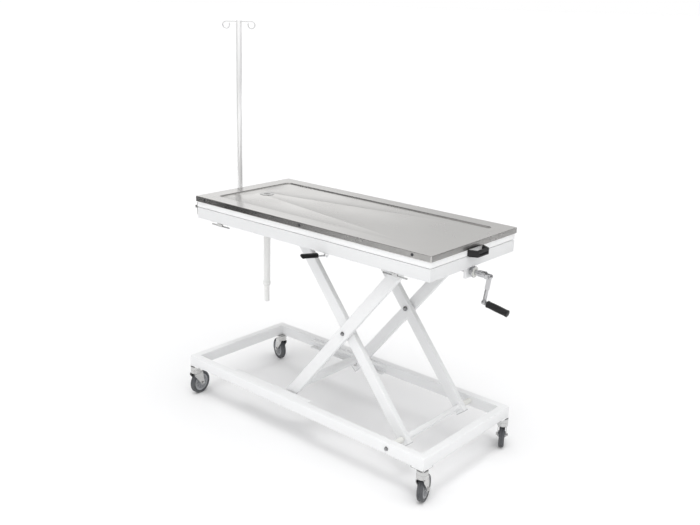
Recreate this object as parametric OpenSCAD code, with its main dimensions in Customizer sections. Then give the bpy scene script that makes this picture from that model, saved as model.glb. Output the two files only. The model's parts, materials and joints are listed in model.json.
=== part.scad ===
// Veterinary surgery table on a crank-wound scissor lift.
// Millimetres, +Z up, X along the table with the crank at +X, floor at Z = 0.

/* [Base frame] */
// Length of the base frame
base_len = 1380; // [1320:10:1500]
// Width of the base frame
base_wid = 616; // [600:2:660]
// Height of a frame tube's section
rail_h = 50; // [44:1:60]
// Width of a frame tube's section
rail_w = 35; // [30:1:38]
// Wall of the frame tubes
rail_wall = 2; // [1.5:0.5:4]

/* [Casters] */
// Diameter of a wheel
wheel_d = 110; // [100:1:140]
// Width of a tyre
tyre_w = 24; // [20:1:28]
// Thickness of the rubber on a wheel
tyre_t = 14; // [10:1:20]
// Distance from a swivel axis to its wheel's axle
caster_trail = 29; // [18:1:32]
// Gap between a wheel and its fork's crown
crown_gap = 4; // [4:1:12]
// Sheet thickness of a fork
fork_t = 3; // [2:0.5:4]
// Clear width inside a fork
fork_gap = 32; // [30:1:40]
// Diameter of a swivel race
race_d = 46; // [44:1:60]
// Height of a swivel race
race_h = 30; // [18:1:34]
// Length of a mounting plate along the table
plate_len = 62; // [56:1:80]
// Width of a mounting plate
plate_wid = 62; // [56:1:80]
// Thickness of a mounting plate
plate_t = 6; // [3:0.5:8]
// Distance of the swivel axes from the ends of the base
caster_inset = 16; // [12:1:30]
// Diameter of a wheel's axle
axle_d = 12; // [10:1:14]
// Heading of the near left wheel's trail
heading_near_left = 96; // [0:1:359]
// Heading of the far left wheel's trail
heading_far_left = 161; // [0:1:359]
// Heading of the near right wheel's trail
heading_near_right = 107; // [0:1:359]
// Heading of the far right wheel's trail
heading_far_right = 119; // [0:1:359]

/* [Scissor] */
// Half the length of an arm between its pivots
arm_half = 480; // [460:5:500]
// Angle of the arms above level
lift_angle = 50.9; // [30:0.1:56]
// Height of an arm's section
arm_h = 50; // [40:1:54]
// Width of an arm's section
arm_w = 25; // [20:1:26]
// Wall of an arm
arm_wall = 2; // [1.5:0.5:4]
// Length of an arm past its pivots
arm_over = 26; // [24:1:30]
// Gap between an outer arm and an inner arm
arm_gap = 4; // [3:0.5:6]
// Distance between the outer faces of the outer arms
scissor_wid = 476; // [470:2:480]
// Distance of the lower pivots from the right end of the base
pivot_inset = 180; // [170:5:200]
// Diameter of the pivot bolts
bolt_d = 14; // [12:1:16]
// Diameter of the pivot spacers
spacer_d = 24; // [22:1:28]
// Diameter of the cross tube between the outer arms
cross_d = 38; // [30:1:42]
// Distance of that cross tube from the roller pivots
cross_along = 78; // [70:1:120]
// Diameter of the foot tube and of the top shaft
shaft_d = 25; // [22:1:26]
// Diameter of the roller pins
roller_pin_d = 12; // [10:1:14]
// Width of a roller
roller_w = 22; // [18:1:22]
// Clear height of the lower guides
base_slot = 32; // [28:1:34]
// Clear height of the upper guides
lift_slot = 27; // [24:1:30]
// Sheet thickness of the guides
guide_t = 3; // [2:0.5:3]
// Distance from the lower pivots to the far end of the guides
guide_reach = 931; // [920:1:940]
// Length of the lower guides
guide_len = 467; // [440:1:490]

/* [Lift frame] */
// Length of the lift frame and the tilt frame
top_len = 1290; // [1270:5:1320]
// Width of the lift frame and the tilt frame
top_wid = 580; // [580:2:600]
// Distance from the lower pivots to the right end of the lift frame
lift_ahead = 145; // [135:1:160]
// Depth of the upper pivots below the top of the lift frame
pivot_drop = 15; // [15:1:20]
// Section of the cross members
member = 25; // [20:1:26]
// Distance from the left end to the member of the gas strut
strut_member_inset = 55; // [50:1:70]
// Distance from the left end to the member of the spindle
spindle_member_inset = 219.5; // [218:0.5:222]

/* [Tilt frame] */
// Section of the tilt frame's tubes
tilt_tube = 25; // [22:1:30]
// Gap between the lift frame and the tilt frame
frame_gap = 2; // [2:0.5:5]
// Distance from the left end to the bearer of the gas strut
left_bearer_inset = 219.5; // [218:0.5:222]
// Distance from the left end to the second bearer
right_bearer_inset = 965; // [900:5:1050]
// Distance of the tilt axis beyond the left ends
hinge_out = 11; // [10:0.5:13]
// Diameter of a hinge barrel
barrel_d = 14; // [12:1:16]
// Diameter of a hinge pin
hinge_pin_d = 8; // [6:1:9]
// Length of a hinge along its axis
hinge_len = 100; // [80:5:120]
// Thickness of a hinge leaf
leaf_t = 3; // [2:0.5:4]

/* [Steel top] */
// Overhang of the steel top past the tilt frame
top_over = 5; // [4:0.5:8]
// Height of the steel top's skirt
skirt_h = 25; // [22:1:35]
// Thickness of the steel sheet
sheet_t = 1.5; // [1:0.5:2]
// Width of the flat rim
rim_w = 70; // [50:1:90]
// Depth of the step inside the rim
step_h = 5; // [4:0.5:9]
// Fall of the floor from the step to the drain
floor_fall = 5; // [3:0.5:8]
// Corner radius of the recess
recess_r = 22; // [12:1:40]
// Width of the return flange under the skirt
flange_w = 16; // [12:1:20]
// Distance from the left edge to the drain
drain_inset = 155; // [140:5:175]
// Diameter of the drain strainer
strainer_d = 65; // [55:1:80]
// Diameter of the drain hole
drain_hole_d = 38; // [34:1:44]
// Diameter of a skirt screw's head
screw_d = 11; // [8:1:13]

/* [Drain pipe] */
// Diameter of the drain pipe
pipe_d = 32; // [28:1:34]
// Diameter of the pipe's tail
tail_d = 25; // [20:1:26]
// Wall of the pipe
pipe_wall = 2.5; // [2:0.5:4]
// Length of the wide part below the sump
pipe_len = 440; // [380:5:450]
// Length of the tail
tail_len = 84; // [60:1:90]

/* [IV pole] */
// Diameter of the pole
pole_d = 25; // [20:1:26]
// Length of the pole
pole_len = 960; // [900:5:1000]
// Length of the pole below the top of its socket
pole_below = 145; // [140:1:160]
// Distance of the pole beyond the left end of the lift frame
pole_out = 37; // [36:1:45]
// Length of the socket
socket_len = 95; // [80:1:100]
// Wall of the socket
socket_wall = 3; // [2:0.5:5]
// Wall of the bush in the socket
bush_wall = 2.5; // [2:0.5:4]
// Diameter of the hook wire
wire_d = 5; // [4:0.5:8]
// Radius of a hook ring
ring_r = 15.5; // [12:0.5:22]
// Distance of the ring centres from the pole's axis
ring_out = 57; // [42:1:64]
// Heading of the hooks
hook_heading = 45; // [0:1:180]
// Diameter of the clamp knob
knob_d = 35; // [28:1:42]

/* [Crank] */
// Diameter of the lift spindle
spindle_d = 20; // [16:1:22]
// Depth of the spindle's axis below the upper pivots
spindle_drop = 57; // [54:1:64]
// Diameter of the thrust disc
disc_d = 45; // [36:1:50]
// Diameter of the clevis sleeve
clevis_d = 26; // [24:1:30]
// Distance of the fold pin beyond the right end of the lift frame
fold_out = 70; // [68:1:80]
// Length of the crank arm
crank_len = 107; // [90:1:120]
// Lean of the hanging crank arm towards the table
crank_lean = 8; // [0:1:8]
// Diameter of the grip
grip_d = 28; // [24:1:34]
// Length of the grip
grip_len = 93; // [80:1:120]
// Fall of the grip below level
grip_fall = 10; // [0:1:15]

/* [Handles] */
// Width of the bridge handle at its back
bridge_back = 114; // [90:2:130]
// Width of the bridge handle at its front
bridge_front = 74; // [60:2:80]
// Reach of the bridge handle beyond the tilt frame
bridge_out = 37; // [32:1:38]
// Height of the bridge handle
bridge_h = 26; // [22:1:27]
// Distance of the release lever from the lower pivots
lever_back = 361; // [300:1:420]
// Heading of the release lever
lever_heading = 241; // [225:1:270]
// Length of the release lever from its pivot
lever_len = 103; // [85:1:120]
// Width of the release lever's grip
lever_w = 25; // [20:1:30]
// Thickness of the release lever's grip
lever_grip_h = 16; // [12:1:18]
// Length of a tie-down cleat
cleat_len = 112; // [80:1:120]
// Distance of the left cleats from the left end of the lift frame
cleat_left = 145; // [100:5:200]
// Distance of the right cleats from the right end of the lift frame
cleat_right = 165; // [120:5:220]

/* [Hidden] */
$fn = 48;

// Clearances: turning fits, sliding fits, fixed bolts and faces that pass each other
run_fit = 0.05;
slide_fit = 0.04;
bolt_fit = 0.15;
seat_gap = 0.3;
cut = 1;

// Nominal size of the bolt heads on the pivots
head_size = 9;

// Heights of the stack
caster_h = wheel_d + crown_gap + fork_t + race_h + plate_t;
wheel_r = wheel_d / 2;
crown_z = wheel_d + crown_gap;
base_z = caster_h;
low_z = base_z + rail_h / 2;
high_z = low_z + 2 * arm_half * sin(lift_angle);
lift_top = high_z + pivot_drop;
lift_z = lift_top - rail_h;
tilt_z = lift_top + frame_gap;
pan_z = tilt_z + tilt_tube;
table_z = pan_z + skirt_h;
spindle_z = high_z - spindle_drop;

// Places along the table
pivot_x = base_len / 2 - pivot_inset;
centre_x = pivot_x - arm_half * cos(lift_angle);
centre_z = (low_z + high_z) / 2;
roller_x = pivot_x - 2 * arm_half * cos(lift_angle);
lift_x1 = pivot_x + lift_ahead;
lift_x0 = lift_x1 - top_len;
guide_x0 = pivot_x - guide_reach;
strut_member_x = lift_x0 + strut_member_inset;
spindle_member_x = lift_x0 + spindle_member_inset;
left_bearer_x = lift_x0 + left_bearer_inset;
right_bearer_x = lift_x0 + right_bearer_inset;
drain_x = lift_x0 - top_over + drain_inset;
hinge_x = lift_x0 - hinge_out;
hinge_z = lift_top + frame_gap / 2;

// Places across the table
roller_side = 4;
base_in = base_wid / 2 - rail_w;
lift_in = top_wid / 2 - rail_w;
outer_y1 = scissor_wid / 2;
outer_y0 = outer_y1 - arm_w;
inner_y1 = outer_y0 - arm_gap;
inner_y0 = inner_y1 - arm_w;
base_roller_y = base_in - guide_t - roller_side - roller_w / 2;
top_roller_y = lift_in - guide_t - roller_side - roller_w / 2;
base_flange = base_in - outer_y1 - roller_side;
lift_flange = lift_in - (top_roller_y - roller_w / 2) + 2;
roller_slack = 0.5;

// Casters
CASTERS = [
  [-1, -1, heading_near_left], [-1, 1, heading_far_left],
  [1, -1, heading_near_right], [1, 1, heading_far_right]];
caster_x = base_len / 2 - caster_inset;
caster_y = base_wid / 2 - caster_inset;
race_split = 0.3;
race_cup_h = race_h / 2;
kingpin_d = 12;
kingpin_head = 4;
fork_wid = fork_gap + 2 * fork_t;
hub_d = wheel_d - 2 * tyre_t;
hub_w = tyre_w - 2;
hub_boss_w = fork_gap - 1;
tyre_crown_r = 5;
fork_boss_r = 11;
fork_shoulder_r = 9;

// Crank drive
bearing_t = 12;
bearing_back = 3;
spindle_out = 34;
sleeve_out = 23;
clevis_root = 16;
clevis_ear_t = 5;
clevis_ear_d = 18;
drive_x = lift_x1 - rail_w / 2 - bearing_back;
spindle_x1 = lift_x1 + spindle_out;
fold_x = lift_x1 + fold_out;
fold_z = spindle_z - 4;
fold_pin_d = 8;
crank_t = 10;
grip_x = fold_x - crank_len * sin(crank_lean);
grip_z = fold_z - crank_len * cos(crank_lean);
grip_start = 14;
grip_floor = 4;
grip_bolt_d = 9;
grip_end_x = grip_x + (grip_start + grip_len) * cos(grip_fall) + grip_d / 2 * sin(grip_fall);

// Knob of the pole's clamp
knob_t = 15;
knob_stand = 2;
socket_boss_l = 11;
bush_r = pole_d / 2 + slide_fit + bush_wall;
socket_r = bush_r + run_fit + socket_wall;
pole_x = lift_x0 - pole_out;
knob_x1 = pole_x - socket_r - socket_boss_l - knob_stand;

// Release lever
lever_root_w = 14;
lever_pin_d = 6;
lever_pin_z = 9;
lever_plate_t = 3;
lever_seat = 6;
lever_x = pivot_x - lever_back;
lever_y = -top_wid / 2 + lever_seat;
lever_end_y = lever_y + lever_len * sin(lever_heading) - lever_w / 2 * abs(cos(lever_heading));

// Middle of the whole table's outline, from its wheels, knob, grip and release lever
tyre_in_r = wheel_r - tyre_crown_r;
tyre_in_w = tyre_w / 2 - tyre_crown_r;
function wheel_x(c) = c[0] * caster_x + caster_trail * cos(c[2]);
function wheel_y(c) = c[1] * caster_y + caster_trail * sin(c[2]);
function reach_x(c) = tyre_in_r * abs(cos(c[2])) + tyre_in_w * abs(sin(c[2])) + tyre_crown_r;
function reach_y(c) = tyre_in_r * abs(sin(c[2])) + tyre_in_w * abs(cos(c[2])) + tyre_crown_r;
x_low = min([knob_x1 - knob_t, for (c = CASTERS) wheel_x(c) - reach_x(c)]);
x_high = max([grip_end_x, for (c = CASTERS) wheel_x(c) + reach_x(c)]);
y_low = min([lever_end_y, for (c = CASTERS) wheel_y(c) - reach_y(c)]);
y_high = max([for (c = CASTERS) wheel_y(c) + reach_y(c)]);

// Gas strut between the lift frame and the left bearer
strut_y = 110;
strut_eye_d = 18;
strut_pin_d = 8;
strut_ear_t = 4;
strut_eye_w = 10;
strut_foot_x = strut_member_x;
strut_foot_drop = 45;
strut_head_gap = 12;
strut_head_rise = 11;
strut_foot_z = lift_z - strut_foot_drop;
strut_head_x = left_bearer_x - member / 2 - strut_head_gap;
strut_head_z = tilt_z + strut_head_rise;
strut_run = strut_head_x - strut_foot_x;
strut_rise = strut_head_z - strut_foot_z;
strut_l = sqrt(strut_run * strut_run + strut_rise * strut_rise);
strut_tilt = atan2(strut_rise, strut_run);
strut_tube_d = 22;
strut_rod_d = 10;
strut_tube_l = 112;
strut_tube_x = 20;
strut_open = 0.8;

// Steel top
top_x0 = lift_x0 - top_over;
top_x1 = lift_x1 + top_over;
top_y = top_wid / 2 + top_over;
floor_z = table_z - step_h;
drain_z = floor_z - floor_fall;
seat_d = strainer_d + 8;

// Pole
socket_z = lift_top - socket_len;
pole_z0 = lift_top - pole_below;
pole_z1 = pole_z0 + pole_len;
hook_z = pole_z1 - 5.5;

// Shared shapes

module place() {
  translate([-(x_low + x_high) / 2, -(y_low + y_high) / 2, 0]) children();
}

module both_sides() {
  for (side = [-1, 1]) scale([1, side, 1]) children();
}

module rod(d, y0, y1) {
  translate([0, y1, 0]) rotate([90, 0, 0]) cylinder(d = d, h = y1 - y0);
}

module x_rod(d, x0, x1) {
  translate([x0, 0, 0]) rotate([0, 90, 0]) cylinder(d = d, h = x1 - x0);
}

module cube_at(x0, x1, y0, y1, z0, z1) {
  translate([x0, y0, z0]) cube([x1 - x0, y1 - y0, z1 - z0]);
}

// Tube with mitred ends along +X, its long face on the line Y = 0
module mitred_tube(len, w, h, wall) {
  difference() {
    linear_extrude(h) polygon([[0, 0], [len, 0], [len - w, w], [w, w]]);
    translate([0, 0, wall]) linear_extrude(h - 2 * wall)
      polygon([[wall - cut, wall], [len - wall + cut, wall],
               [len - w + wall + cut, w - wall], [w - wall - cut, w - wall]]);
  }
}

// The two long tubes or the two short tubes of a mitred frame
module long_tubes(x0, len, wid, w, h, wall) {
  both_sides() translate([x0, -wid / 2, 0]) mitred_tube(len, w, h, wall);
}

module short_tubes(x0, len, wid, w, h, wall) {
  translate([x0, wid / 2, 0]) rotate(-90) mitred_tube(wid, w, h, wall);
  translate([x0 + len, -wid / 2, 0]) rotate(90) mitred_tube(wid, w, h, wall);
}

// Channel along X whose web stands on the plane Y = web_y and opens inwards
module guide_channel(x0, len, web_y, slot, flange) {
  translate([x0, web_y, 0]) difference() {
    translate([0, -flange, -slot / 2 - guide_t]) cube([len, flange, slot + 2 * guide_t]);
    translate([-cut, -flange - cut, -slot / 2]) cube([len + 2 * cut, flange + cut - guide_t, slot]);
  }
}

// Head of a bolt along +Y, six-sided with a washer under it
module bolt_head(d) {
  rod(2 * d, 0, 2);
  rotate([-90, 0, 0]) cylinder(d = 1.6 * d, h = 0.55 * d + 2, $fn = 6);
}

module to_arm(angle, x, z) {
  translate([x, 0, z]) rotate([0, -angle, 0]) children();
}

// Hollow arm around its middle, with bushes where pins turn in it
module arm_tube(y0, bores) {
  half = arm_half + arm_over;
  difference() {
    union() {
      difference() {
        cube_at(-half, half, y0, y0 + arm_w, -arm_h / 2, arm_h / 2);
        cube_at(-half - cut, half + cut, y0 + arm_wall, y0 + arm_w - arm_wall,
                -arm_h / 2 + arm_wall, arm_h / 2 - arm_wall);
      }
      for (b = bores) translate([b[0], 0, 0]) rod(b[1] + 8, y0 + arm_wall / 2, y0 + arm_w - arm_wall / 2);
    }
    for (b = bores) translate([b[0], 0, 0]) rod(b[1] + 2 * b[2], y0 - cut, y0 + arm_w + cut);
  }
}

module arm_end_caps(y0) {
  half = arm_half + arm_over;
  cap_lip = 3;
  cap_plug = 6;
  for (end = [-1, 1]) scale([end, 1, 1]) {
    cube_at(half, half + cap_lip, y0, y0 + arm_w, -arm_h / 2, arm_h / 2);
    cube_at(half - cap_plug, half, y0 + arm_wall + bolt_fit, y0 + arm_w - arm_wall - bolt_fit,
            -arm_h / 2 + arm_wall + bolt_fit, arm_h / 2 - arm_wall - bolt_fit);
  }
}

// Base frame

module base_side_rails() {
  color("whitesmoke") difference() {
    translate([0, 0, base_z])
      long_tubes(-base_len / 2, base_len, base_wid, rail_w, rail_h, rail_wall);
    both_sides() translate([pivot_x, 0, low_z])
      rod(bolt_d + 2 * bolt_fit, base_in - cut, base_wid / 2 + cut);
  }
}

module base_end_rails() {
  color("whitesmoke") translate([0, 0, base_z])
    short_tubes(-base_len / 2, base_len, base_wid, rail_w, rail_h, rail_wall);
}

module base_guides() {
  color("whitesmoke") both_sides() translate([0, 0, low_z])
    guide_channel(guide_x0, guide_len, base_in, base_slot, base_flange);
}

module lower_pivots() {
  both_sides() translate([pivot_x, 0, low_z]) {
    color("silver") rod(bolt_d, inner_y0 + seat_gap, base_wid / 2);
    color("silver") translate([0, base_wid / 2, 0]) bolt_head(head_size);
    color("white") difference() {
      rod(spacer_d, inner_y1 + seat_gap, base_in);
      rod(bolt_d, inner_y1 - cut, base_in + cut);
    }
  }
}

// Casters

module caster_at(c) {
  translate([c[0] * caster_x, c[1] * caster_y, 0]) rotate(c[2]) children();
}

module wheel_at(c) {
  caster_at(c) translate([caster_trail, 0, wheel_r]) children();
}

// Plate in the corner of the base, bolted through its three inner corners
module caster_plate() {
  hole_d = 8.5;
  hole_in = 8;
  difference() {
    translate([base_len / 2 - plate_len, base_wid / 2 - plate_wid, base_z - plate_t])
      cube([plate_len, plate_wid, plate_t]);
    for (hole = [[plate_len - hole_in, hole_in], [hole_in, plate_wid - hole_in],
                 [plate_len - hole_in, plate_wid - hole_in]])
      translate([base_len / 2 - hole[0], base_wid / 2 - hole[1], base_z - plate_t - cut])
        cylinder(d = hole_d, h = plate_t + 2 * cut);
  }
}

module caster_plates() {
  color("silver") for (c = CASTERS) scale([c[0], c[1], 1]) caster_plate();
  color("silver") for (c = CASTERS) translate([c[0] * caster_x, c[1] * caster_y, 0]) {
    translate([0, 0, base_z - plate_t - race_cup_h]) cylinder(d = race_d, h = race_cup_h);
    translate([0, 0, crown_z - kingpin_head - seat_gap])
      cylinder(d = kingpin_d, h = base_z - plate_t - crown_z + kingpin_head + seat_gap);
    translate([0, 0, crown_z - kingpin_head - seat_gap]) cylinder(d = kingpin_d + 8, h = kingpin_head);
  }
}

// Side view of a fork, narrowing from its crown to the axle
module fork_side() {
  back = -race_d / 2 + 2;
  front = race_d / 2 + 8;
  polygon([[back, crown_z + fork_t], [front, crown_z + fork_t], [front + 2, crown_z - 14],
           [caster_trail + fork_boss_r, wheel_r], [caster_trail - fork_boss_r, wheel_r],
           [back, crown_z - 12]]);
  translate([caster_trail, wheel_r]) circle(r = fork_boss_r);
}

// Arch with rounded shoulders, standing below the axle
module fork_arch(half, top, shoulder_r) {
  foot = wheel_r - fork_boss_r - cut;
  translate([-half, foot]) square([2 * half, top - shoulder_r - foot]);
  translate([-half + shoulder_r, foot]) square([2 * (half - shoulder_r), top - foot]);
  for (side = [-1, 1]) translate([side * (half - shoulder_r), top - shoulder_r]) circle(r = shoulder_r);
}

module caster_fork(c) {
  long = caster_trail + race_d;
  color("silver") caster_at(c) {
    difference() {
      union() {
        intersection() {
          translate([0, fork_wid / 2 + cut, 0]) rotate([90, 0, 0])
            linear_extrude(fork_wid + 2 * cut) fork_side();
          translate([-long, 0, 0]) rotate([90, 0, 90]) linear_extrude(2 * long) difference() {
            fork_arch(fork_wid / 2, crown_z + fork_t, fork_shoulder_r);
            translate([0, -2 * cut]) fork_arch(fork_gap / 2, crown_z + 2 * cut, fork_shoulder_r - fork_t);
          }
        }
        translate([0, 0, crown_z]) cylinder(d = race_d, h = fork_t + race_h - race_cup_h - race_split);
      }
      translate([0, 0, crown_z - cut])
        cylinder(d = kingpin_d + 2 * run_fit, h = fork_t + race_h + 2 * cut);
    }
    translate([caster_trail, 0, wheel_r]) {
      rod(axle_d, -fork_gap / 2, fork_gap / 2);
      both_sides() translate([0, fork_gap / 2 + fork_t, 0]) bolt_head(8);
    }
  }
}

module caster_hub(c) {
  rim_t = 8;
  boss_d = axle_d + 18;
  web_w = 8;
  color("gray") wheel_at(c) rotate([90, 0, 0]) rotate_extrude() {
    translate([hub_d / 2 - rim_t, -hub_w / 2]) square([rim_t, hub_w]);
    translate([boss_d / 2, -web_w / 2]) square([(hub_d - boss_d) / 2 - rim_t, web_w]);
    translate([axle_d / 2 + run_fit, -hub_boss_w / 2])
      square([(boss_d - axle_d) / 2 - run_fit, hub_boss_w]);
  }
}

module caster_tyre(c) {
  crown_r = tyre_crown_r;
  color("dimgray") wheel_at(c) rotate([90, 0, 0]) rotate_extrude() {
    translate([hub_d / 2, -tyre_w / 2]) square([tyre_t - crown_r, tyre_w]);
    translate([hub_d / 2, -tyre_w / 2 + crown_r]) square([tyre_t, tyre_w - 2 * crown_r]);
    for (side = [-1, 1])
      translate([wheel_r - crown_r, side * (tyre_w / 2 - crown_r)]) circle(r = crown_r);
  }
}

// Scissor

module inner_arms() {
  color("whitesmoke") to_arm(-lift_angle, centre_x, centre_z) both_sides()
    arm_tube(inner_y0, [[arm_half, bolt_d, run_fit], [0, bolt_d, run_fit], [-arm_half, shaft_d, bolt_fit]]);
}

module inner_foot_tube() {
  color("whitesmoke") translate([pivot_x, 0, low_z]) difference() {
    rod(shaft_d, -inner_y0, inner_y0);
    rod(shaft_d - 2 * arm_wall, -inner_y0 - cut, inner_y0 + cut);
  }
}

module inner_top_shaft() {
  color("silver") translate([roller_x, 0, high_z]) {
    rod(shaft_d, -inner_y1 - 2, inner_y1 + 2);
    rod(roller_pin_d, -top_roller_y - roller_w / 2 - 2, top_roller_y + roller_w / 2 + 2);
  }
}

module inner_arm_caps() {
  color("dimgray") to_arm(-lift_angle, centre_x, centre_z) both_sides() arm_end_caps(inner_y0);
}

module outer_arms() {
  color("whitesmoke") to_arm(lift_angle, centre_x, centre_z) both_sides()
    arm_tube(outer_y0, [[arm_half, bolt_d, run_fit], [0, bolt_d, bolt_fit],
                        [-arm_half, roller_pin_d, bolt_fit]]);
}

module outer_cross_tube() {
  color("whitesmoke") to_arm(lift_angle, centre_x, centre_z)
    translate([-arm_half + cross_along, 0, 0]) difference() {
      rod(cross_d, -outer_y0, outer_y0);
      rod(cross_d - 2 * arm_wall, -outer_y0 - cut, outer_y0 + cut);
    }
}

module outer_arm_caps() {
  color("dimgray") to_arm(lift_angle, centre_x, centre_z) both_sides() arm_end_caps(outer_y0);
}

module centre_pivots() {
  washer_d = 30;
  nut_h = 8;
  color("silver") both_sides() translate([centre_x, 0, centre_z]) {
    rod(bolt_d, inner_y0 - nut_h - seat_gap, outer_y1);
    translate([0, outer_y1, 0]) bolt_head(head_size);
    rod(washer_d, inner_y1 + seat_gap, outer_y0);
    translate([0, inner_y0 - seat_gap, 0]) rotate([90, 0, 0])
      cylinder(d = 1.6 * bolt_d, h = nut_h, $fn = 6);
  }
}

module base_roller_pins() {
  collar_d = roller_pin_d + 8;
  color("silver") both_sides() translate([roller_x, 0, low_z]) {
    rod(roller_pin_d, outer_y0, base_roller_y + roller_w / 2 + 2);
    rod(collar_d, outer_y1, base_roller_y - roller_w / 2 - seat_gap);
    rod(collar_d, outer_y0 - 3, outer_y0);
  }
}

// Roller between two guide flanges, on a pin along Y
module roller(slot) {
  difference() {
    rod(slot - 2 * roller_slack, -roller_w / 2, roller_w / 2);
    rod(roller_pin_d + 2 * run_fit, -roller_w / 2 - cut, roller_w / 2 + cut);
  }
}

module base_rollers() {
  color("white") for (side = [-1, 1])
    translate([roller_x, side * base_roller_y, low_z]) roller(base_slot);
}

module top_rollers() {
  color("white") for (side = [-1, 1])
    translate([roller_x, side * top_roller_y, high_z]) roller(lift_slot);
}

// Lift frame

module lift_side_rails() {
  color("whitesmoke") difference() {
    translate([0, 0, lift_z]) long_tubes(lift_x0, top_len, top_wid, rail_w, rail_h, rail_wall);
    both_sides() translate([pivot_x, 0, high_z])
      rod(bolt_d + 2 * bolt_fit, lift_in - cut, lift_in + rail_wall + cut);
  }
}

module lift_end_rails() {
  color("whitesmoke") translate([0, 0, lift_z])
    short_tubes(lift_x0, top_len, top_wid, rail_w, rail_h, rail_wall);
}

module lift_guides() {
  guide_end = 21;
  color("whitesmoke") both_sides() translate([0, 0, high_z])
    guide_channel(guide_x0 + guide_end, guide_len - guide_end, lift_in, lift_slot, lift_flange);
}

module upper_pivots() {
  both_sides() translate([pivot_x, 0, high_z]) {
    color("silver") rod(bolt_d, outer_y0 - 2, top_wid / 2 - rail_wall);
    color("white") difference() {
      rod(spacer_d, outer_y1 + seat_gap, lift_in);
      rod(bolt_d, outer_y1 - cut, lift_in + cut);
    }
  }
}

// Square tube across a frame, centred on X = x
module cross_tube(x, z, half_wid) {
  difference() {
    cube_at(x - member / 2, x + member / 2, -half_wid, half_wid, z, z + member);
    cube_at(x - member / 2 + rail_wall, x + member / 2 - rail_wall, -half_wid - cut, half_wid + cut,
            z + rail_wall, z + member - rail_wall);
  }
}

// Pair of ears with a pin along Y, each ear joined to its frame by a plate
module strut_ears(x, z, plate_x0, plate_x1, plate_z0, plate_z1) {
  ear_y = strut_eye_w / 2 + seat_gap;
  for (side = [-1, 1]) translate([0, strut_y + side * (ear_y + strut_ear_t / 2), 0]) {
    translate([x, 0, z]) rod(strut_eye_d, -strut_ear_t / 2, strut_ear_t / 2);
    cube_at(plate_x0, plate_x1, -strut_ear_t / 2, strut_ear_t / 2, plate_z0, plate_z1);
  }
  translate([x, strut_y, z]) rod(strut_pin_d, -ear_y - strut_ear_t - 2, ear_y + strut_ear_t + 2);
}

module lift_cross_members() {
  color("whitesmoke") {
    cross_tube(strut_member_x, lift_z, lift_in);
    cross_tube(spindle_member_x, lift_z, lift_in);
    strut_ears(strut_foot_x, strut_foot_z, strut_foot_x - strut_eye_d / 2,
               strut_foot_x + 2, strut_foot_z, lift_z);
  }
}

module drive_bearings() {
  bearing_w = 60;
  bearing_low = 25;
  color("whitesmoke") for (x = [spindle_member_x, drive_x]) difference() {
    cube_at(x - bearing_t / 2, x + bearing_t / 2, -bearing_w / 2, bearing_w / 2,
            spindle_z - bearing_low, lift_z);
    translate([0, 0, spindle_z]) x_rod(spindle_d + 2 * run_fit, x - bearing_t, x + bearing_t);
  }
  color("dimgray") translate([drive_x + bearing_t / 2, bearing_w / 2 - 10, lift_z - 14])
    rotate([0, 90, 0]) cylinder(d = 13, h = 6, $fn = 6);
}

// Knuckles of one leaf; which = 0 for the end knuckles, 1 for the middle one
module hinge_knuckles(which) {
  third = hinge_len / 3;
  for (k = which == 0 ? [0, 2] : [1])
    translate([0, k * third + seat_gap / 2, 0]) children(0);
}

module knuckle(bore) {
  len = hinge_len / 3 - seat_gap;
  difference() {
    rod(barrel_d, 0, len);
    rod(bore, -cut, len + cut);
  }
}

module hinge_web(low) {
  len = hinge_len / 3 - seat_gap;
  difference() {
    cube_at(0, hinge_out - leaf_t / 2, 0, len, low ? -barrel_d / 2 : 0.8, low ? -0.8 : barrel_d / 2);
    rod(barrel_d - 1, -cut, len + cut);
  }
}

module hinge_leaves_lift() {
  leaf_h = 34;
  color("gainsboro") for (y = [-top_wid / 2, top_wid / 2 - hinge_len]) translate([hinge_x, y, hinge_z]) {
    hinge_knuckles(0) {
      union() {
        knuckle(hinge_pin_d);
        hinge_web(true);
      }
    }
    cube_at(hinge_out - leaf_t, hinge_out, 0, hinge_len, -frame_gap / 2 - leaf_h, -frame_gap / 2 - seat_gap);
    rod(hinge_pin_d, 0, hinge_len);
  }
}

module hinge_leaves_tilt() {
  leaf_h = tilt_tube - 4;
  color("gainsboro") for (y = [-top_wid / 2, top_wid / 2 - hinge_len]) translate([hinge_x, y, hinge_z]) {
    hinge_knuckles(1) {
      union() {
        knuckle(hinge_pin_d + 2 * run_fit);
        hinge_web(false);
      }
    }
    cube_at(hinge_out - leaf_t, hinge_out, 0, hinge_len, frame_gap / 2 + seat_gap, frame_gap / 2 + leaf_h);
  }
}

module pole_socket() {
  pad_w = 70;
  pad_t = 4;
  web_w = 16;
  boss_d = 18;
  boss_l = socket_boss_l;
  color("silver") difference() {
    union() {
      translate([pole_x, 0, socket_z]) cylinder(r = socket_r, h = socket_len);
      cube_at(lift_x0 - pad_t, lift_x0, -pad_w / 2, pad_w / 2, lift_z, lift_top - 2);
      cube_at(pole_x, lift_x0, -web_w / 2, web_w / 2, socket_z + 5, lift_top - 2);
      translate([0, 0, socket_z + socket_len / 2])
        x_rod(boss_d, pole_x - socket_r - boss_l, pole_x);
    }
    translate([pole_x, 0, socket_z - cut])
      cylinder(r = bush_r + run_fit, h = socket_len + 2 * cut);
    translate([0, 0, socket_z + socket_len / 2])
      x_rod(8 + 2 * run_fit, pole_x - socket_r - boss_l - cut, pole_x);
  }
}

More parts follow.
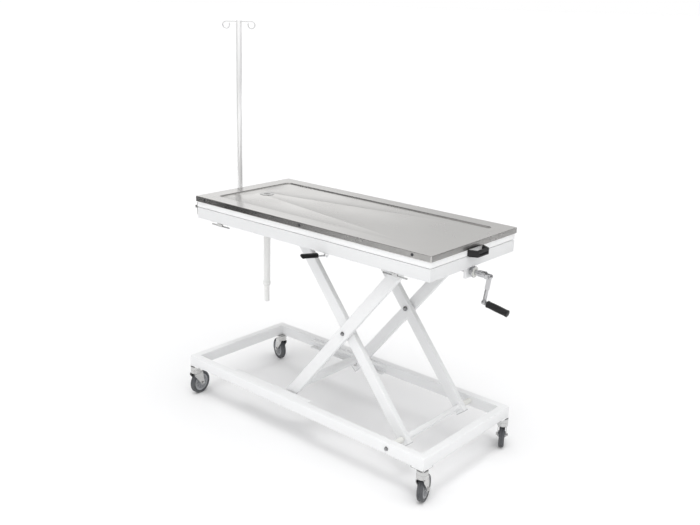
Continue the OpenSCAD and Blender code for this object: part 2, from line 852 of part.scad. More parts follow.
module tie_cleats() {
  foot_l = 34;
  foot_w = 16;
  drop = 17;
  horn_t = 7;
  color("silver") both_sides() for (x = [lift_x0 + cleat_left, lift_x1 - cleat_right])
    translate([x, top_wid / 2 - 12, lift_z]) {
      translate([-foot_l / 2, -foot_w / 2, -4]) cube([foot_l, foot_w, 4]);
      translate([-foot_l / 2 + 5, -foot_w / 4, -drop]) cube([foot_l - 10, foot_w / 2, drop]);
      translate([0, 0, -drop + horn_t / 2]) x_rod(horn_t, -cleat_len / 2, cleat_len / 2);
    }
}

// Crank drive

module nut_carriage() {
  nut_w = 40;
  bottom = 23;
  top = 16;
  color("gray") difference() {
    cube_at(roller_x - nut_w / 2, roller_x + nut_w / 2, -nut_w / 2, nut_w / 2,
            spindle_z - bottom, high_z + top);
    translate([roller_x, 0, high_z]) rod(shaft_d + 2 * run_fit, -nut_w, nut_w);
    translate([0, 0, spindle_z]) x_rod(spindle_d + 2 * run_fit, roller_x - nut_w, roller_x + nut_w);
  }
}

module lift_spindle() {
  disc_t = 6;
  color("silver") translate([0, 0, spindle_z]) {
    x_rod(spindle_d, spindle_member_x - member / 2, spindle_x1);
    x_rod(spindle_d + 8, drive_x + bearing_t / 2 + seat_gap, lift_x1);
    x_rod(disc_d, lift_x1, lift_x1 + disc_t);
  }
}

module crank_clevis() {
  ear_t = clevis_ear_t;
  ear_r = clevis_ear_d / 2;
  slot_w = crank_t + 2 * seat_gap;
  sleeve_x0 = lift_x1 + sleeve_out;
  sleeve_x1 = fold_x - clevis_root;
  color("silver") difference() {
    union() {
      translate([0, 0, spindle_z]) x_rod(clevis_d, sleeve_x0, sleeve_x1);
      for (side = [-1, 1]) translate([0, side * (slot_w + ear_t) / 2, 0]) {
        translate([fold_x, 0, fold_z]) rod(clevis_ear_d, -ear_t / 2, ear_t / 2);
        cube_at(sleeve_x1 - cut, fold_x, -ear_t / 2, ear_t / 2, fold_z - ear_r, fold_z + ear_r);
      }
    }
    translate([0, 0, spindle_z]) x_rod(spindle_d + 2 * bolt_fit, sleeve_x0 - cut, spindle_x1 + seat_gap);
    translate([fold_x, 0, fold_z]) rod(fold_pin_d + 2 * run_fit, -clevis_d, clevis_d);
  }
}

module to_crank() {
  translate([fold_x, 0, fold_z]) rotate([0, crank_lean, 0]) children();
}

module crank_arm() {
  wide = 16;
  wide_l = 52;
  thin_inset = 1.5;
  boss_d = 18;
  boss_half = 8;
  color("silver") {
    to_crank() {
      rod(wide, -crank_t / 2, crank_t / 2);
      cube_at(-wide / 2, wide / 2, -crank_t / 2, crank_t / 2, -wide_l, 0);
      cube_at(-wide / 2 + thin_inset, wide / 2 - thin_inset, -crank_t / 2 + thin_inset,
              crank_t / 2 - thin_inset, -crank_len, -wide_l);
      translate([0, 0, -crank_len]) x_rod(boss_d, -boss_half, boss_half);
      rod(fold_pin_d, -clevis_d / 2, clevis_d / 2);
    }
    translate([grip_x, 0, grip_z]) rotate([0, grip_fall, 0])
      x_rod(grip_bolt_d, 0, grip_start + grip_len - grip_floor - seat_gap);
  }
}

module crank_grip() {
  flute_d = 4;
  flutes = 12;
  end_t = 5;
  color("#222222") translate([grip_x, 0, grip_z]) rotate([0, 90 + grip_fall, 0])
    translate([0, 0, grip_start]) difference() {
      union() {
        translate([0, 0, end_t]) cylinder(d = grip_d - 2, h = grip_len - 2 * end_t);
        cylinder(d = grip_d, h = end_t);
        translate([0, 0, grip_len - end_t]) cylinder(d = grip_d, h = end_t);
      }
      for (k = [0:flutes - 1]) rotate(k * 360 / flutes) translate([grip_d / 2, 0, end_t + 3])
        cylinder(d = flute_d, h = grip_len - 2 * end_t - 6);
      translate([0, 0, -cut])
        cylinder(d = grip_bolt_d + 2 * run_fit, h = grip_len - grip_floor + cut);
    }
}

// Tilt frame

module tilt_side_rails() {
  color("whitesmoke") translate([0, 0, tilt_z])
    long_tubes(lift_x0, top_len, top_wid, tilt_tube, tilt_tube, rail_wall);
}

module tilt_end_rails() {
  color("whitesmoke") translate([0, 0, tilt_z])
    short_tubes(lift_x0, top_len, top_wid, tilt_tube, tilt_tube, rail_wall);
}

module tilt_bearers() {
  half_wid = top_wid / 2 - tilt_tube;
  color("whitesmoke") {
    for (x = [left_bearer_x, right_bearer_x]) cross_tube(x, tilt_z, half_wid);
    strut_ears(strut_head_x, strut_head_z, strut_head_x, left_bearer_x - member / 2,
               strut_head_z - strut_eye_d / 2, strut_head_z + strut_eye_d / 2);
  }
}

// Middles of the recess's corner rounds
RECESS_CORNERS = [
  for (x = [top_x0 + rim_w + recess_r, top_x1 - rim_w - recess_r],
       y = [-top_y + rim_w + recess_r, top_y - rim_w - recess_r]) [x, y]];

// Opening of the recess, grown by extra, as a prism from low to high
module recess_prism(extra, low, high) {
  low_c = RECESS_CORNERS[0];
  high_c = RECESS_CORNERS[3];
  r = recess_r + extra;
  cube_at(low_c[0] - r, high_c[0] + r, low_c[1], high_c[1], low, high);
  cube_at(low_c[0], high_c[0], low_c[1] - r, high_c[1] + r, low, high);
  for (c = RECESS_CORNERS) translate([c[0], c[1], low]) cylinder(r = r, h = high - low);
}

// Folded rim with its skirt, the flange under it and the step down to the floor
module top_rim() {
  wall = sheet_t;
  difference() {
    union() {
      difference() {
        cube_at(top_x0, top_x1, -top_y, top_y, pan_z, table_z);
        cube_at(top_x0 + wall, top_x1 - wall, -top_y + wall, top_y - wall, pan_z + wall, table_z - wall);
        cube_at(top_x0 + flange_w, top_x1 - flange_w, -top_y + flange_w, top_y - flange_w,
                pan_z - cut, pan_z + 2 * wall);
      }
      recess_prism(wall, floor_z, table_z - wall / 2);
    }
    recess_prism(0, floor_z - cut, table_z + cut);
  }
}

// Creased floor that falls from the step to the flat seat of the drain
module recess_cone(drop, top_z) {
  hull() {
    translate([0, 0, floor_z - drop]) linear_extrude(top_z - floor_z + drop)
      for (c = RECESS_CORNERS) translate(c) circle(r = recess_r + sheet_t, $fn = 32);
    translate([drain_x, 0, drain_z - drop]) cylinder(d = seat_d, h = floor_fall, $fn = 32);
  }
}

// One side of the rim between its mitre seams, which run from the corners to the corner rounds
module rim_side(a, b, b_in, a_in) {
  seam = 0.05;
  back = seam * (b - a) / norm(b - a);
  intersection() {
    top_rim();
    translate([0, 0, pan_z - cut]) linear_extrude(skirt_h + 2 * cut)
      polygon([a + back, b - back, b_in - back, a_in + back]);
  }
}

module steel_top() {
  m = rim_w + recess_r;
  corners = [[top_x0, -top_y], [top_x1, -top_y], [top_x1, top_y], [top_x0, top_y]];
  inner = [[top_x0 + m, -top_y + m], [top_x1 - m, -top_y + m],
           [top_x1 - m, top_y - m], [top_x0 + m, top_y - m]];
  color("lightgray") {
    for (k = [0:3]) rim_side(corners[k], corners[(k + 1) % 4], inner[(k + 1) % 4], inner[k]);
    difference() {
      recess_cone(sheet_t, floor_z);
      recess_cone(0, floor_z + cut);
      translate([drain_x, 0, pan_z]) cylinder(d = drain_hole_d, h = skirt_h);
    }
  }
}

module top_screws() {
  head_h = 3;
  dome_r = screw_d * 0.75;
  left_inset = 61;
  right_inset = 85;
  color("silver") both_sides()
    for (x = [top_x0 + left_inset, (top_x0 + top_x1) / 2, top_x1 - right_inset])
      translate([x, top_y, pan_z + skirt_h / 2]) rotate([-90, 0, 0]) rotate_extrude() intersection() {
        translate([0, head_h - dome_r]) circle(r = dome_r);
        square([screw_d / 2, head_h]);
      }
}

module drain_strainer() {
  plate = 1.5;
  hole_d = 5;
  color("silver") translate([drain_x, 0, drain_z]) difference() {
    cylinder(d = strainer_d, h = plate);
    for (ring = [1, 2], k = [0:ring * 6 - 1])
      rotate(k * 360 / (ring * 6)) translate([ring * drain_hole_d / 6, 0, -cut])
        cylinder(d = hole_d, h = plate + 2 * cut);
    translate([0, 0, -cut]) cylinder(d = hole_d, h = plate + 2 * cut);
  }
}

module drain_pipe() {
  collar_d = pipe_d + 28;
  collar_h = 4;
  end_ring_h = 14;
  top = drain_z - sheet_t;
  tail_z = top - pipe_len - tail_len;
  color("white") translate([drain_x, 0, 0]) difference() {
    union() {
      translate([0, 0, top - collar_h]) cylinder(d = collar_d, h = collar_h);
      translate([0, 0, top - pipe_len]) cylinder(d = pipe_d, h = pipe_len);
      translate([0, 0, top - pipe_len]) cylinder(d = pipe_d + 4, h = end_ring_h);
      translate([0, 0, tail_z]) cylinder(d = tail_d, h = tail_len + cut);
    }
    translate([0, 0, tail_z - cut]) cylinder(d = tail_d - 2 * pipe_wall, h = pipe_len + tail_len + 2 * cut);
    translate([0, 0, top - pipe_len + pipe_wall])
      cylinder(d = pipe_d - 2 * pipe_wall, h = pipe_len + cut);
  }
}

module bridge_plan(back, front, x0, x1) {
  polygon([[x0, -back / 2], [x1, -front / 2], [x1, front / 2], [x0, back / 2]]);
}

// Bow bolted to the end of the tilt frame, standing clear of the lift frame and of the skirt
module bridge_handle() {
  drop = 3;
  bar_t = 9;
  leg_t = 11;
  z0 = tilt_z - drop;
  gap_x1 = lift_x1 + bridge_out - bar_t;
  gap_back = bridge_back - 2 * leg_t;
  gap_front = bridge_front - 12;
  taper = (bridge_back - bridge_front) / bridge_out;
  color("#262626") difference() {
    union() {
      translate([0, 0, tilt_z]) linear_extrude(bridge_h - drop)
        bridge_plan(bridge_back, bridge_front, lift_x1, lift_x1 + bridge_out);
      translate([0, 0, z0]) linear_extrude(bridge_h)
        bridge_plan(bridge_back - taper * (top_over + seat_gap), bridge_front,
                    lift_x1 + top_over + seat_gap, lift_x1 + bridge_out);
    }
    translate([0, 0, z0 - cut]) linear_extrude(bridge_h + 2 * cut)
      bridge_plan(gap_back, gap_front, lift_x1 - cut, gap_x1);
    cube_at(gap_x1 + 3, lift_x1 + bridge_out + cut, -gap_front / 2, gap_front / 2, z0 + 8, z0 + 12);
  }
}

// Gas strut

module to_strut() {
  translate([strut_foot_x, strut_y, strut_foot_z]) rotate([0, -strut_tilt, 0]) children();
}

module strut_cylinder() {
  color("#202020") to_strut() difference() {
    union() {
      rod(strut_eye_d - 2, -strut_eye_w / 2, strut_eye_w / 2);
      x_rod(10, 0, strut_tube_x + 2);
      x_rod(strut_tube_d, strut_tube_x, strut_tube_l);
    }
    rod(strut_pin_d + 2 * run_fit, -strut_eye_w, strut_eye_w);
    x_rod(strut_rod_d + 2 * slide_fit, 28, strut_tube_l + cut);
  }
}

module strut_rod() {
  rod_in = 50;
  color("silver") to_strut() difference() {
    union() {
      x_rod(strut_rod_d, strut_tube_l - rod_in, strut_l);
      translate([strut_l, 0, 0]) rod(strut_eye_d - 2, -strut_eye_w / 2, strut_eye_w / 2);
    }
    translate([strut_l, 0, 0]) rod(strut_pin_d + 2 * strut_open, -strut_eye_w, strut_eye_w);
  }
}

// Release lever

module to_lever() {
  translate([lever_x, lever_y, lift_z - lever_pin_z]) rotate(lever_heading) children();
}

module lever_bracket() {
  ear_t = 3;
  ear_l = 16;
  half = lever_root_w / 2 + seat_gap + ear_t;
  color("whitesmoke") to_lever() difference() {
    union() {
      both_sides() {
        rod(ear_l - 4, half - ear_t, half);
        cube_at(-ear_l / 2, ear_l / 2 - 2, half - ear_t, half, 0, lever_pin_z);
      }
      cube_at(-ear_l / 2 - 8, ear_l / 2 - 2, -half, half, lever_pin_z - lever_plate_t, lever_pin_z);
    }
    rod(lever_pin_d + 2 * run_fit, -half - cut, half + cut);
  }
}

module release_lever() {
  blade_t = 4;
  color("silver") to_lever() {
    rod(2 * (lever_pin_z - lever_plate_t - seat_gap), -lever_root_w / 2, lever_root_w / 2);
    rod(lever_pin_d, -lever_root_w / 2 - 3.5, lever_root_w / 2 + 3.5);
    cube_at(0, lever_len - 12, -lever_root_w / 2, lever_root_w / 2, -blade_t / 2, blade_t / 2);
  }
}

module lever_grip() {
  root = 35;
  lift = 4;
  edge_r = 6;
  end_r = lever_grip_h / 2;
  half = lever_w / 2;
  color("#222222") to_lever() difference() {
    intersection() {
      translate([root, 0, lift]) rotate([90, 0, 90]) linear_extrude(lever_len - root) {
        square([lever_w, lever_grip_h - 2 * edge_r], center = true);
        square([lever_w - 2 * edge_r, lever_grip_h], center = true);
        for (x = [-1, 1], y = [-1, 1])
          translate([x * (half - edge_r), y * (end_r - edge_r)]) circle(r = edge_r);
      }
      translate([0, 0, lift]) {
        cube_at(0, lever_len - end_r, -half - cut, half + cut, -end_r, end_r);
        translate([lever_len - end_r, 0, 0]) rod(lever_grip_h, -half - cut, half + cut);
      }
    }
    cube_at(root - cut, lever_len - 12 + bolt_fit, -lever_root_w / 2 - bolt_fit,
            lever_root_w / 2 + bolt_fit, -2 - bolt_fit, 2 + bolt_fit);
  }
}

// IV pole

module pole_bush() {
  lip_h = 4;
  color("#303030") translate([pole_x, 0, 0]) difference() {
    union() {
      translate([0, 0, socket_z + 2]) cylinder(r = bush_r, h = socket_len);
      translate([0, 0, lift_top + seat_gap]) cylinder(r = socket_r + 1, h = lip_h);
    }
    translate([0, 0, socket_z]) cylinder(d = pole_d + 2 * slide_fit, h = socket_len + 10);
  }
}

module iv_pole() {
  wall = 1.5;
  cap_h = 2;
  color("gainsboro") translate([pole_x, 0, 0]) {
    difference() {
      translate([0, 0, pole_z0]) cylinder(d = pole_d, h = pole_len - cap_h);
      translate([0, 0, pole_z0 - cut]) cylinder(d = pole_d - 2 * wall, h = pole_len - cap_h - 12 + cut);
      translate([0, 0, hook_z]) rotate(hook_heading) x_rod(wire_d + 2 * bolt_fit, -pole_d, pole_d);
    }
    translate([0, 0, pole_z1 - cap_h]) cylinder(d1 = pole_d, d2 = pole_d - 3, h = cap_h);
  }
}

module iv_hooks() {
  gap_angle = 60;
  color("silver") translate([pole_x, 0, hook_z]) rotate(hook_heading) {
    x_rod(wire_d, -ring_out, ring_out);
    for (side = [-1, 1]) translate([side * ring_out, 0, -ring_r]) scale([side, 1, 1])
      rotate([90, 0, 0]) rotate(90 - (360 - gap_angle)) rotate_extrude(angle = 360 - gap_angle)
        translate([ring_r, 0]) circle(d = wire_d, $fn = 24);
  }
}

// Knob with its screw slackened, so that the screw's end stands inside the boss of the socket
module clamp_knob() {
  lobes = 6;
  stud_d = 8;
  slack = 2;
  notch_d = 12;
  x0 = knob_x1 - knob_t;
  color("#1c1c1c") translate([0, 0, socket_z + socket_len / 2]) {
    difference() {
      x_rod(knob_d, x0, knob_x1);
      for (k = [0:lobes - 1]) rotate([k * 360 / lobes, 0, 0])
        translate([x0 - cut, knob_d / 2 + notch_d / 4, 0]) rotate([0, 90, 0])
          cylinder(d = notch_d, h = knob_t + 2 * cut);
    }
    x_rod(stud_d, knob_x1 - cut, pole_x - socket_r - slack);
  }
}

place() {
  base_side_rails();
  base_end_rails();
  base_guides();
  caster_plates();
  lower_pivots();
  caster_fork(CASTERS[0]);  // caster_fork_near_left
  caster_fork(CASTERS[1]);  // caster_fork_far_left
  caster_fork(CASTERS[2]);  // caster_fork_near_right
  caster_fork(CASTERS[3]);  // caster_fork_far_right
  caster_hub(CASTERS[0]);  // caster_hub_near_left
  caster_hub(CASTERS[1]);  // caster_hub_far_left
  caster_hub(CASTERS[2]);  // caster_hub_near_right
  caster_hub(CASTERS[3]);  // caster_hub_far_right
  caster_tyre(CASTERS[0]);  // caster_tyre_near_left
  caster_tyre(CASTERS[1]);  // caster_tyre_far_left
  caster_tyre(CASTERS[2]);  // caster_tyre_near_right
  caster_tyre(CASTERS[3]);  // caster_tyre_far_right
  inner_arms();
  inner_foot_tube();
  inner_top_shaft();
  inner_arm_caps();
  outer_arms();
  outer_cross_tube();
  outer_arm_caps();
  centre_pivots();
  base_roller_pins();
  base_rollers();
  top_rollers();
  lift_side_rails();
  lift_end_rails();
  lift_guides();
  upper_pivots();
  lift_cross_members();
  drive_bearings();
  hinge_leaves_lift();
  pole_socket();
  tie_cleats();
  lever_bracket();
  nut_carriage();
  lift_spindle();
  crank_clevis();
  crank_arm();
  crank_grip();
  tilt_side_rails();
  tilt_end_rails();
  tilt_bearers();
  steel_top();
  top_screws();
  drain_strainer();
  drain_pipe();
  bridge_handle();
  hinge_leaves_tilt();
  strut_cylinder();
  strut_rod();
  release_lever();
  lever_grip();
  pole_bush();
  iv_pole();
  iv_hooks();
  clamp_knob();
}
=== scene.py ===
import bpy
import bmesh
import json
import math
from mathutils import Matrix, Vector


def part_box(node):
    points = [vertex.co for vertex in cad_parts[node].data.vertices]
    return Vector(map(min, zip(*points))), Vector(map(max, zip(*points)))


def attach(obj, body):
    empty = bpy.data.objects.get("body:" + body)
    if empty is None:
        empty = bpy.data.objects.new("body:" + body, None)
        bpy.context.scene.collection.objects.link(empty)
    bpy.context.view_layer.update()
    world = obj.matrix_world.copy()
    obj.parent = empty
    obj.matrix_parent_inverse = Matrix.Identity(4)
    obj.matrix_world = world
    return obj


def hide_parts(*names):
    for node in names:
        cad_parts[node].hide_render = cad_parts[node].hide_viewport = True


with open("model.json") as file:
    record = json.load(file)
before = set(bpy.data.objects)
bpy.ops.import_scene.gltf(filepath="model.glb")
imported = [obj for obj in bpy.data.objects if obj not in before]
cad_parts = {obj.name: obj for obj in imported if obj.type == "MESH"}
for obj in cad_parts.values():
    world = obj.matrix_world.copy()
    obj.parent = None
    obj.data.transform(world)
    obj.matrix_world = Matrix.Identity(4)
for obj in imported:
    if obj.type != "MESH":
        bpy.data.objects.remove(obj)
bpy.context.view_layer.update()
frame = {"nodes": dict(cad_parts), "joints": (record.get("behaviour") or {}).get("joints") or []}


# Camera. It stands off the near right-hand corner at about eye height, where
# the photograph was taken, turned left, tipped down and rolled a little.
base_low, base_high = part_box("base_side_rails")
home = Vector(((base_low.x + base_high.x) / 2, (base_low.y + base_high.y) / 2, 0))
photo_wide = 700
photo_high = 525
focal_px = 841.4
centre_px = (337.4, 247.3)
sensor_wide = 36.0
yaw = math.radians(41.335)
pitch = math.radians(16.164)
roll = math.radians(1.505)
forward = Vector((-math.sin(yaw) * math.cos(pitch), math.cos(yaw) * math.cos(pitch), -math.sin(pitch)))
level_right = Vector((math.cos(yaw), math.sin(yaw), 0))
level_up = level_right.cross(forward)
right = level_right * math.cos(roll) + level_up * math.sin(roll)
up = level_up * math.cos(roll) - level_right * math.sin(roll)
lens = bpy.data.cameras.new("camera")
lens.sensor_width = sensor_wide
lens.lens = focal_px * sensor_wide / photo_wide
lens.shift_x = (photo_wide / 2 - centre_px[0]) / photo_wide
lens.shift_y = (centre_px[1] - photo_high / 2) / photo_wide
camera = bpy.data.objects.new("camera", lens)
camera_stand = home + Vector((2.2855, -2.6462, base_low.z + 1.6842))
camera_turn = Matrix((right, up, -forward)).transposed().to_4x4()
camera.matrix_world = Matrix.Translation(camera_stand) @ camera_turn
bpy.context.scene.collection.objects.link(camera)
bpy.context.scene.camera = camera


# Studio. A pale floor under an even sky, with a wide sun from above, a narrow
# one that draws the shadows of the rails and a very wide one from the front.
# The cards that stand round the table are seen only in polished surfaces.
def add_node(tree, kind, values=None, **settings):
    node = tree.nodes.new(kind)
    for name, value in settings.items():
        setattr(node, name, value)
    for name, value in (values or {}).items():
        node.inputs[name].default_value = value
    return node


def link_up(tree, *links):
    for giver, output, taker, socket in links:
        tree.links.new(giver.outputs[output], taker.inputs[socket])


def new_material(name, **plain):
    material = bpy.data.materials.new(name)
    material.use_nodes = True
    shader = material.node_tree.nodes["Principled BSDF"]
    for socket, value in plain.items():
        shader.inputs[socket.replace("_", " ")].default_value = value
    return material, material.node_tree, shader


def stage_sheet(name, corners, material):
    mesh = bpy.data.meshes.new(name)
    mesh.from_pydata(corners, [], [(0, 1, 2, 3)])
    mesh.materials.append(material)
    sheet = bpy.data.objects.new(name, mesh)
    bpy.context.scene.collection.objects.link(sheet)
    return sheet


def reflection_card(name, start, end, low, high, start_tone, end_tone):
    material, tree, shader = new_material(name, Roughness=0.9)
    along = 0 if abs(end[0] - start[0]) > abs(end[1] - start[1]) else 1
    place = add_node(tree, "ShaderNodeTexCoord")
    axes = add_node(tree, "ShaderNodeSeparateXYZ")
    fade = add_node(tree, "ShaderNodeMapRange",
                    {"From Min": home[along] + start[along], "From Max": home[along] + end[along],
                     "To Min": start_tone, "To Max": end_tone})
    link_up(tree, (place, "Object", axes, "Vector"), (axes, along, fade, "Value"),
            (fade, "Result", shader, "Base Color"))
    corners = [home + Vector(c) for c in ((*start, low), (*end, low), (*end, high), (*start, high))]
    card = stage_sheet(name, corners, material)
    card.visible_camera = False
    card.visible_diffuse = False
    card.visible_transmission = False
    card.visible_shadow = False


def soft_sun(name, toward, angle, strength):
    light = bpy.data.lights.new(name, "SUN")
    light.angle = math.radians(angle)
    light.energy = strength
    obj = bpy.data.objects.new(name, light)
    obj.visible_glossy = False
    obj.rotation_euler = Vector(toward).to_track_quat("Z", "Y").to_euler()
    bpy.context.scene.collection.objects.link(obj)


floor_half = 400.0
stage_sheet("studio_floor", [(-floor_half, -floor_half, 0), (floor_half, -floor_half, 0),
                             (floor_half, floor_half, 0), (-floor_half, floor_half, 0)],
            new_material("pale_floor", Base_Color=(0.95, 0.95, 0.955, 1), Roughness=0.8)[0])
low_card = 0.93
reflection_card("near_left_card", (-3.2, -1.9), (-1.95, -1.9), 0.0, low_card, 0.0, 0.02)
reflection_card("near_card", (-1.95, -1.9), (-0.2, -1.9), 0.0, low_card, 0.02, 0.9)
reflection_card("right_card", (2.3, 0.5), (2.3, 3.6), 0.0, low_card, 0.44, 0.14)
reflection_card("camera_card", (3.0, -1.9), (3.8, -0.8), 0.9, 2.6, 0.03, 0.03)
reflection_card("left_card", (-3.8, 1.2), (-1.6, -3.5), 0.95, 5.0, 0.2, 0.2)
reflection_card("far_right_card", (1.2, 3.6), (3.6, 1.2), 1.4, 4.8, 0.3, 0.3)
surround = bpy.data.worlds.new("surround")
surround.use_nodes = True
sky_tree = surround.node_tree
background = sky_tree.nodes["Background"]
background.inputs["Color"].default_value = (1.0, 1.0, 1.0, 1)
sky_light = 0.55
seen_by = add_node(sky_tree, "ShaderNodeLightPath")
facing_sky = add_node(sky_tree, "ShaderNodeTexCoord")
sky_axes = add_node(sky_tree, "ShaderNodeSeparateXYZ")
mirrored_sky = add_node(sky_tree, "ShaderNodeMapRange",
                        {"From Min": 0.0, "From Max": 0.32, "To Min": 0.42, "To Max": 0.97})
sideways = add_node(sky_tree, "ShaderNodeMapRange",
                    {"From Min": -0.7, "From Max": -0.55, "To Min": 1.24, "To Max": 0.84})
mirrored_tone = add_node(sky_tree, "ShaderNodeMath", operation="MULTIPLY")
gloss_mix = add_node(sky_tree, "ShaderNodeMix", {"A": sky_light})
view_mix = add_node(sky_tree, "ShaderNodeMix", {"B": 1.0})
link_up(sky_tree, (facing_sky, "Generated", sky_axes, "Vector"), (sky_axes, "Z", mirrored_sky, "Value"),
        (sky_axes, "X", sideways, "Value"), (mirrored_sky, "Result", mirrored_tone, 0),
        (sideways, "Result", mirrored_tone, 1), (mirrored_tone, "Value", gloss_mix, "B"),
        (seen_by, "Is Glossy Ray", gloss_mix, "Factor"), (gloss_mix, "Result", view_mix, "A"),
        (seen_by, "Is Camera Ray", view_mix, "Factor"), (view_mix, "Result", background, "Strength"))
bpy.context.scene.world = surround
bpy.context.scene.view_settings.view_transform = "Standard"
soft_sun("key_sun", (0.34, -0.08, 0.94), 66, 1.0)
soft_sun("rail_sun", (0.12, -0.3, 0.95), 14, 0.42)
soft_sun("front_sun", (0.22, -0.79, 0.57), 90, 0.82)


# Base frame. Four mitred rectangular steel tubes welded into one level frame,
# ground flush at the corners and powder-coated white.
def new_group(name, inputs, outputs):
    group = bpy.data.node_groups.new(name, "ShaderNodeTree")
    for way, labels in (("INPUT", inputs), ("OUTPUT", outputs)):
        for label in labels:
            group.interface.new_socket(name=label, in_out=way, socket_type="NodeSocketFloat")
    return group, add_node(group, "NodeGroupInput"), add_node(group, "NodeGroupOutput")


def fine_grain_group():
    group, given, out = new_group("fine_grain", ("Scale", "Roughness Low", "Roughness High"),
                                  ("Height", "Roughness", "Tone"))
    place = add_node(group, "ShaderNodeTexCoord")
    grain = add_node(group, "ShaderNodeTexNoise", {"Detail": 3.0})
    blotch = add_node(group, "ShaderNodeTexNoise", {"Scale": 9.0, "Detail": 4.0, "Roughness": 0.6})
    spread = add_node(group, "ShaderNodeMapRange", {"From Min": 0.3, "From Max": 0.7})
    link_up(group, (place, "Object", grain, "Vector"), (place, "Object", blotch, "Vector"),
            (given, "Scale", grain, "Scale"), (blotch, "Fac", spread, "Value"),
            (given, "Roughness Low", spread, "To Min"), (given, "Roughness High", spread, "To Max"),
            (grain, "Fac", out, "Height"), (spread, "Result", out, "Roughness"),
            (blotch, "Fac", out, "Tone"))
    return group


def settled_dust_group():
    group, given, out = new_group("settled_dust", ("Reach", "Amount"), ("Mask",))
    place = add_node(group, "ShaderNodeTexCoord")
    axes = add_node(group, "ShaderNodeSeparateXYZ")
    speck = add_node(group, "ShaderNodeTexNoise", {"Scale": 38.0, "Detail": 6.0, "Roughness": 0.7})
    low = add_node(group, "ShaderNodeMapRange", {"To Min": 1.0, "To Max": 0.0})
    patch = add_node(group, "ShaderNodeMapRange", {"From Min": 0.42, "From Max": 0.7})
    times = add_node(group, "ShaderNodeMath", operation="MULTIPLY")
    scaled = add_node(group, "ShaderNodeMath", operation="MULTIPLY")
    link_up(group, (place, "Object", axes, "Vector"), (place, "Object", speck, "Vector"),
            (axes, "Z", low, "Value"), (given, "Reach", low, "From Max"), (speck, "Fac", patch, "Value"),
            (low, "Result", times, 0), (patch, "Result", times, 1), (times, "Value", scaled, 0),
            (given, "Amount", scaled, 1), (scaled, "Value", out, "Mask"))
    return group


FINE_GRAIN = fine_grain_group()
SETTLED_DUST = settled_dust_group()


def grained_material(name, colour, shade, grain, grain_depth, roughness, dust=0.0, dust_reach=0.25,
                     dust_colour=(0.35, 0.33, 0.3), **plain):
    material, tree, shader = new_material(name, **plain)
    skin = add_node(tree, "ShaderNodeGroup", {"Scale": grain, "Roughness Low": roughness[0],
                                              "Roughness High": roughness[1]}, node_tree=FINE_GRAIN)
    tint = add_node(tree, "ShaderNodeMix", {"A": (*colour, 1), "B": (*shade, 1)}, data_type="RGBA")
    dusty = add_node(tree, "ShaderNodeGroup", {"Reach": dust_reach, "Amount": dust},
                     node_tree=SETTLED_DUST)
    soiled = add_node(tree, "ShaderNodeMix", {"B": (*dust_colour, 1)}, data_type="RGBA")
    bump = add_node(tree, "ShaderNodeBump", {"Strength": 1.0, "Distance": grain_depth})
    link_up(tree, (skin, "Tone", tint, "Factor"), (dusty, "Mask", soiled, "Factor"),
            (tint, "Result", soiled, "A"), (soiled, "Result", shader, "Base Color"),
            (skin, "Roughness", shader, "Roughness"), (skin, "Height", bump, "Height"),
            (bump, "Normal", shader, "Normal"))
    return material


WHITE_COAT = grained_material("white_powder_coat", (0.87, 0.875, 0.88), (0.83, 0.835, 0.84), 520.0,
                              0.00008, (0.32, 0.44), dust=0.25, dust_reach=0.2,
                              dust_colour=(0.62, 0.61, 0.59), Coat_Weight=0.1)


def place_piece(name, mesh, body, nodes, sharp):
    mesh.polygons.foreach_set("use_smooth", [True] * len(mesh.polygons))
    mesh.set_sharp_from_angle(angle=math.radians(sharp))
    piece = bpy.data.objects.new(name, mesh)
    bpy.context.scene.collection.objects.link(piece)
    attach(piece, body)
    if nodes:
        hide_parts(*nodes)
    return piece


def finish_piece(name, shape, body, material, nodes=(), sharp=35):
    mesh = bpy.data.meshes.new(name)
    shape.to_mesh(mesh)
    shape.free()
    mesh.materials.append(material)
    return place_piece(name, mesh, body, nodes, sharp)


def rounded_section(wide, high, radius, steps=4):
    points = []
    for cx, cy, start in ((1, -1, -90), (1, 1, 0), (-1, 1, 90), (-1, -1, 180)):
        for k in range(steps + 1):
            angle = math.radians(start + 90 * k / steps)
            points.append((cx * (wide / 2 - radius) + radius * math.cos(angle),
                           cy * (high / 2 - radius) + radius * math.sin(angle)))
    return points


def join_rings(shape, rings, closed=False):
    count = len(rings[0])
    for ring, following in zip(rings, rings[1:] + rings[:1] if closed else rings[1:]):
        for k in range(count):
            m = (k + 1) % count
            shape.faces.new((ring[k], ring[m], following[m], following[k]))


def soften(shape, width, steps=2):
    least = math.radians(40)
    edges = [e for e in shape.edges if e.is_manifold and e.calc_face_angle(0) > least]
    bmesh.ops.bevel(shape, geom=edges, offset=width, segments=steps, profile=0.5, affect="EDGES",
                    clamp_overlap=True)


def tube_frame(low, high, wide, radius):
    shape = bmesh.new()
    section = rounded_section(wide, high.z - low.z, radius)
    rings = []
    for sx, sy in ((0, 0), (1, 0), (1, 1), (0, 1)):
        ring = []
        for u, v in section:
            inset = u + wide / 2
            x = high.x - inset if sx else low.x + inset
            y = high.y - inset if sy else low.y + inset
            ring.append(shape.verts.new((x, y, (low.z + high.z) / 2 + v)))
        rings.append(ring)
    join_rings(shape, rings, closed=True)
    bmesh.ops.recalc_face_normals(shape, faces=shape.faces)
    soften(shape, 0.0012)
    return shape


rail_wide = 0.035
tube_radius = 0.0035
finish_piece("base_frame", tube_frame(base_low, base_high, rail_wide, tube_radius), "base",
             WHITE_COAT, ("base_side_rails", "base_end_rails"))


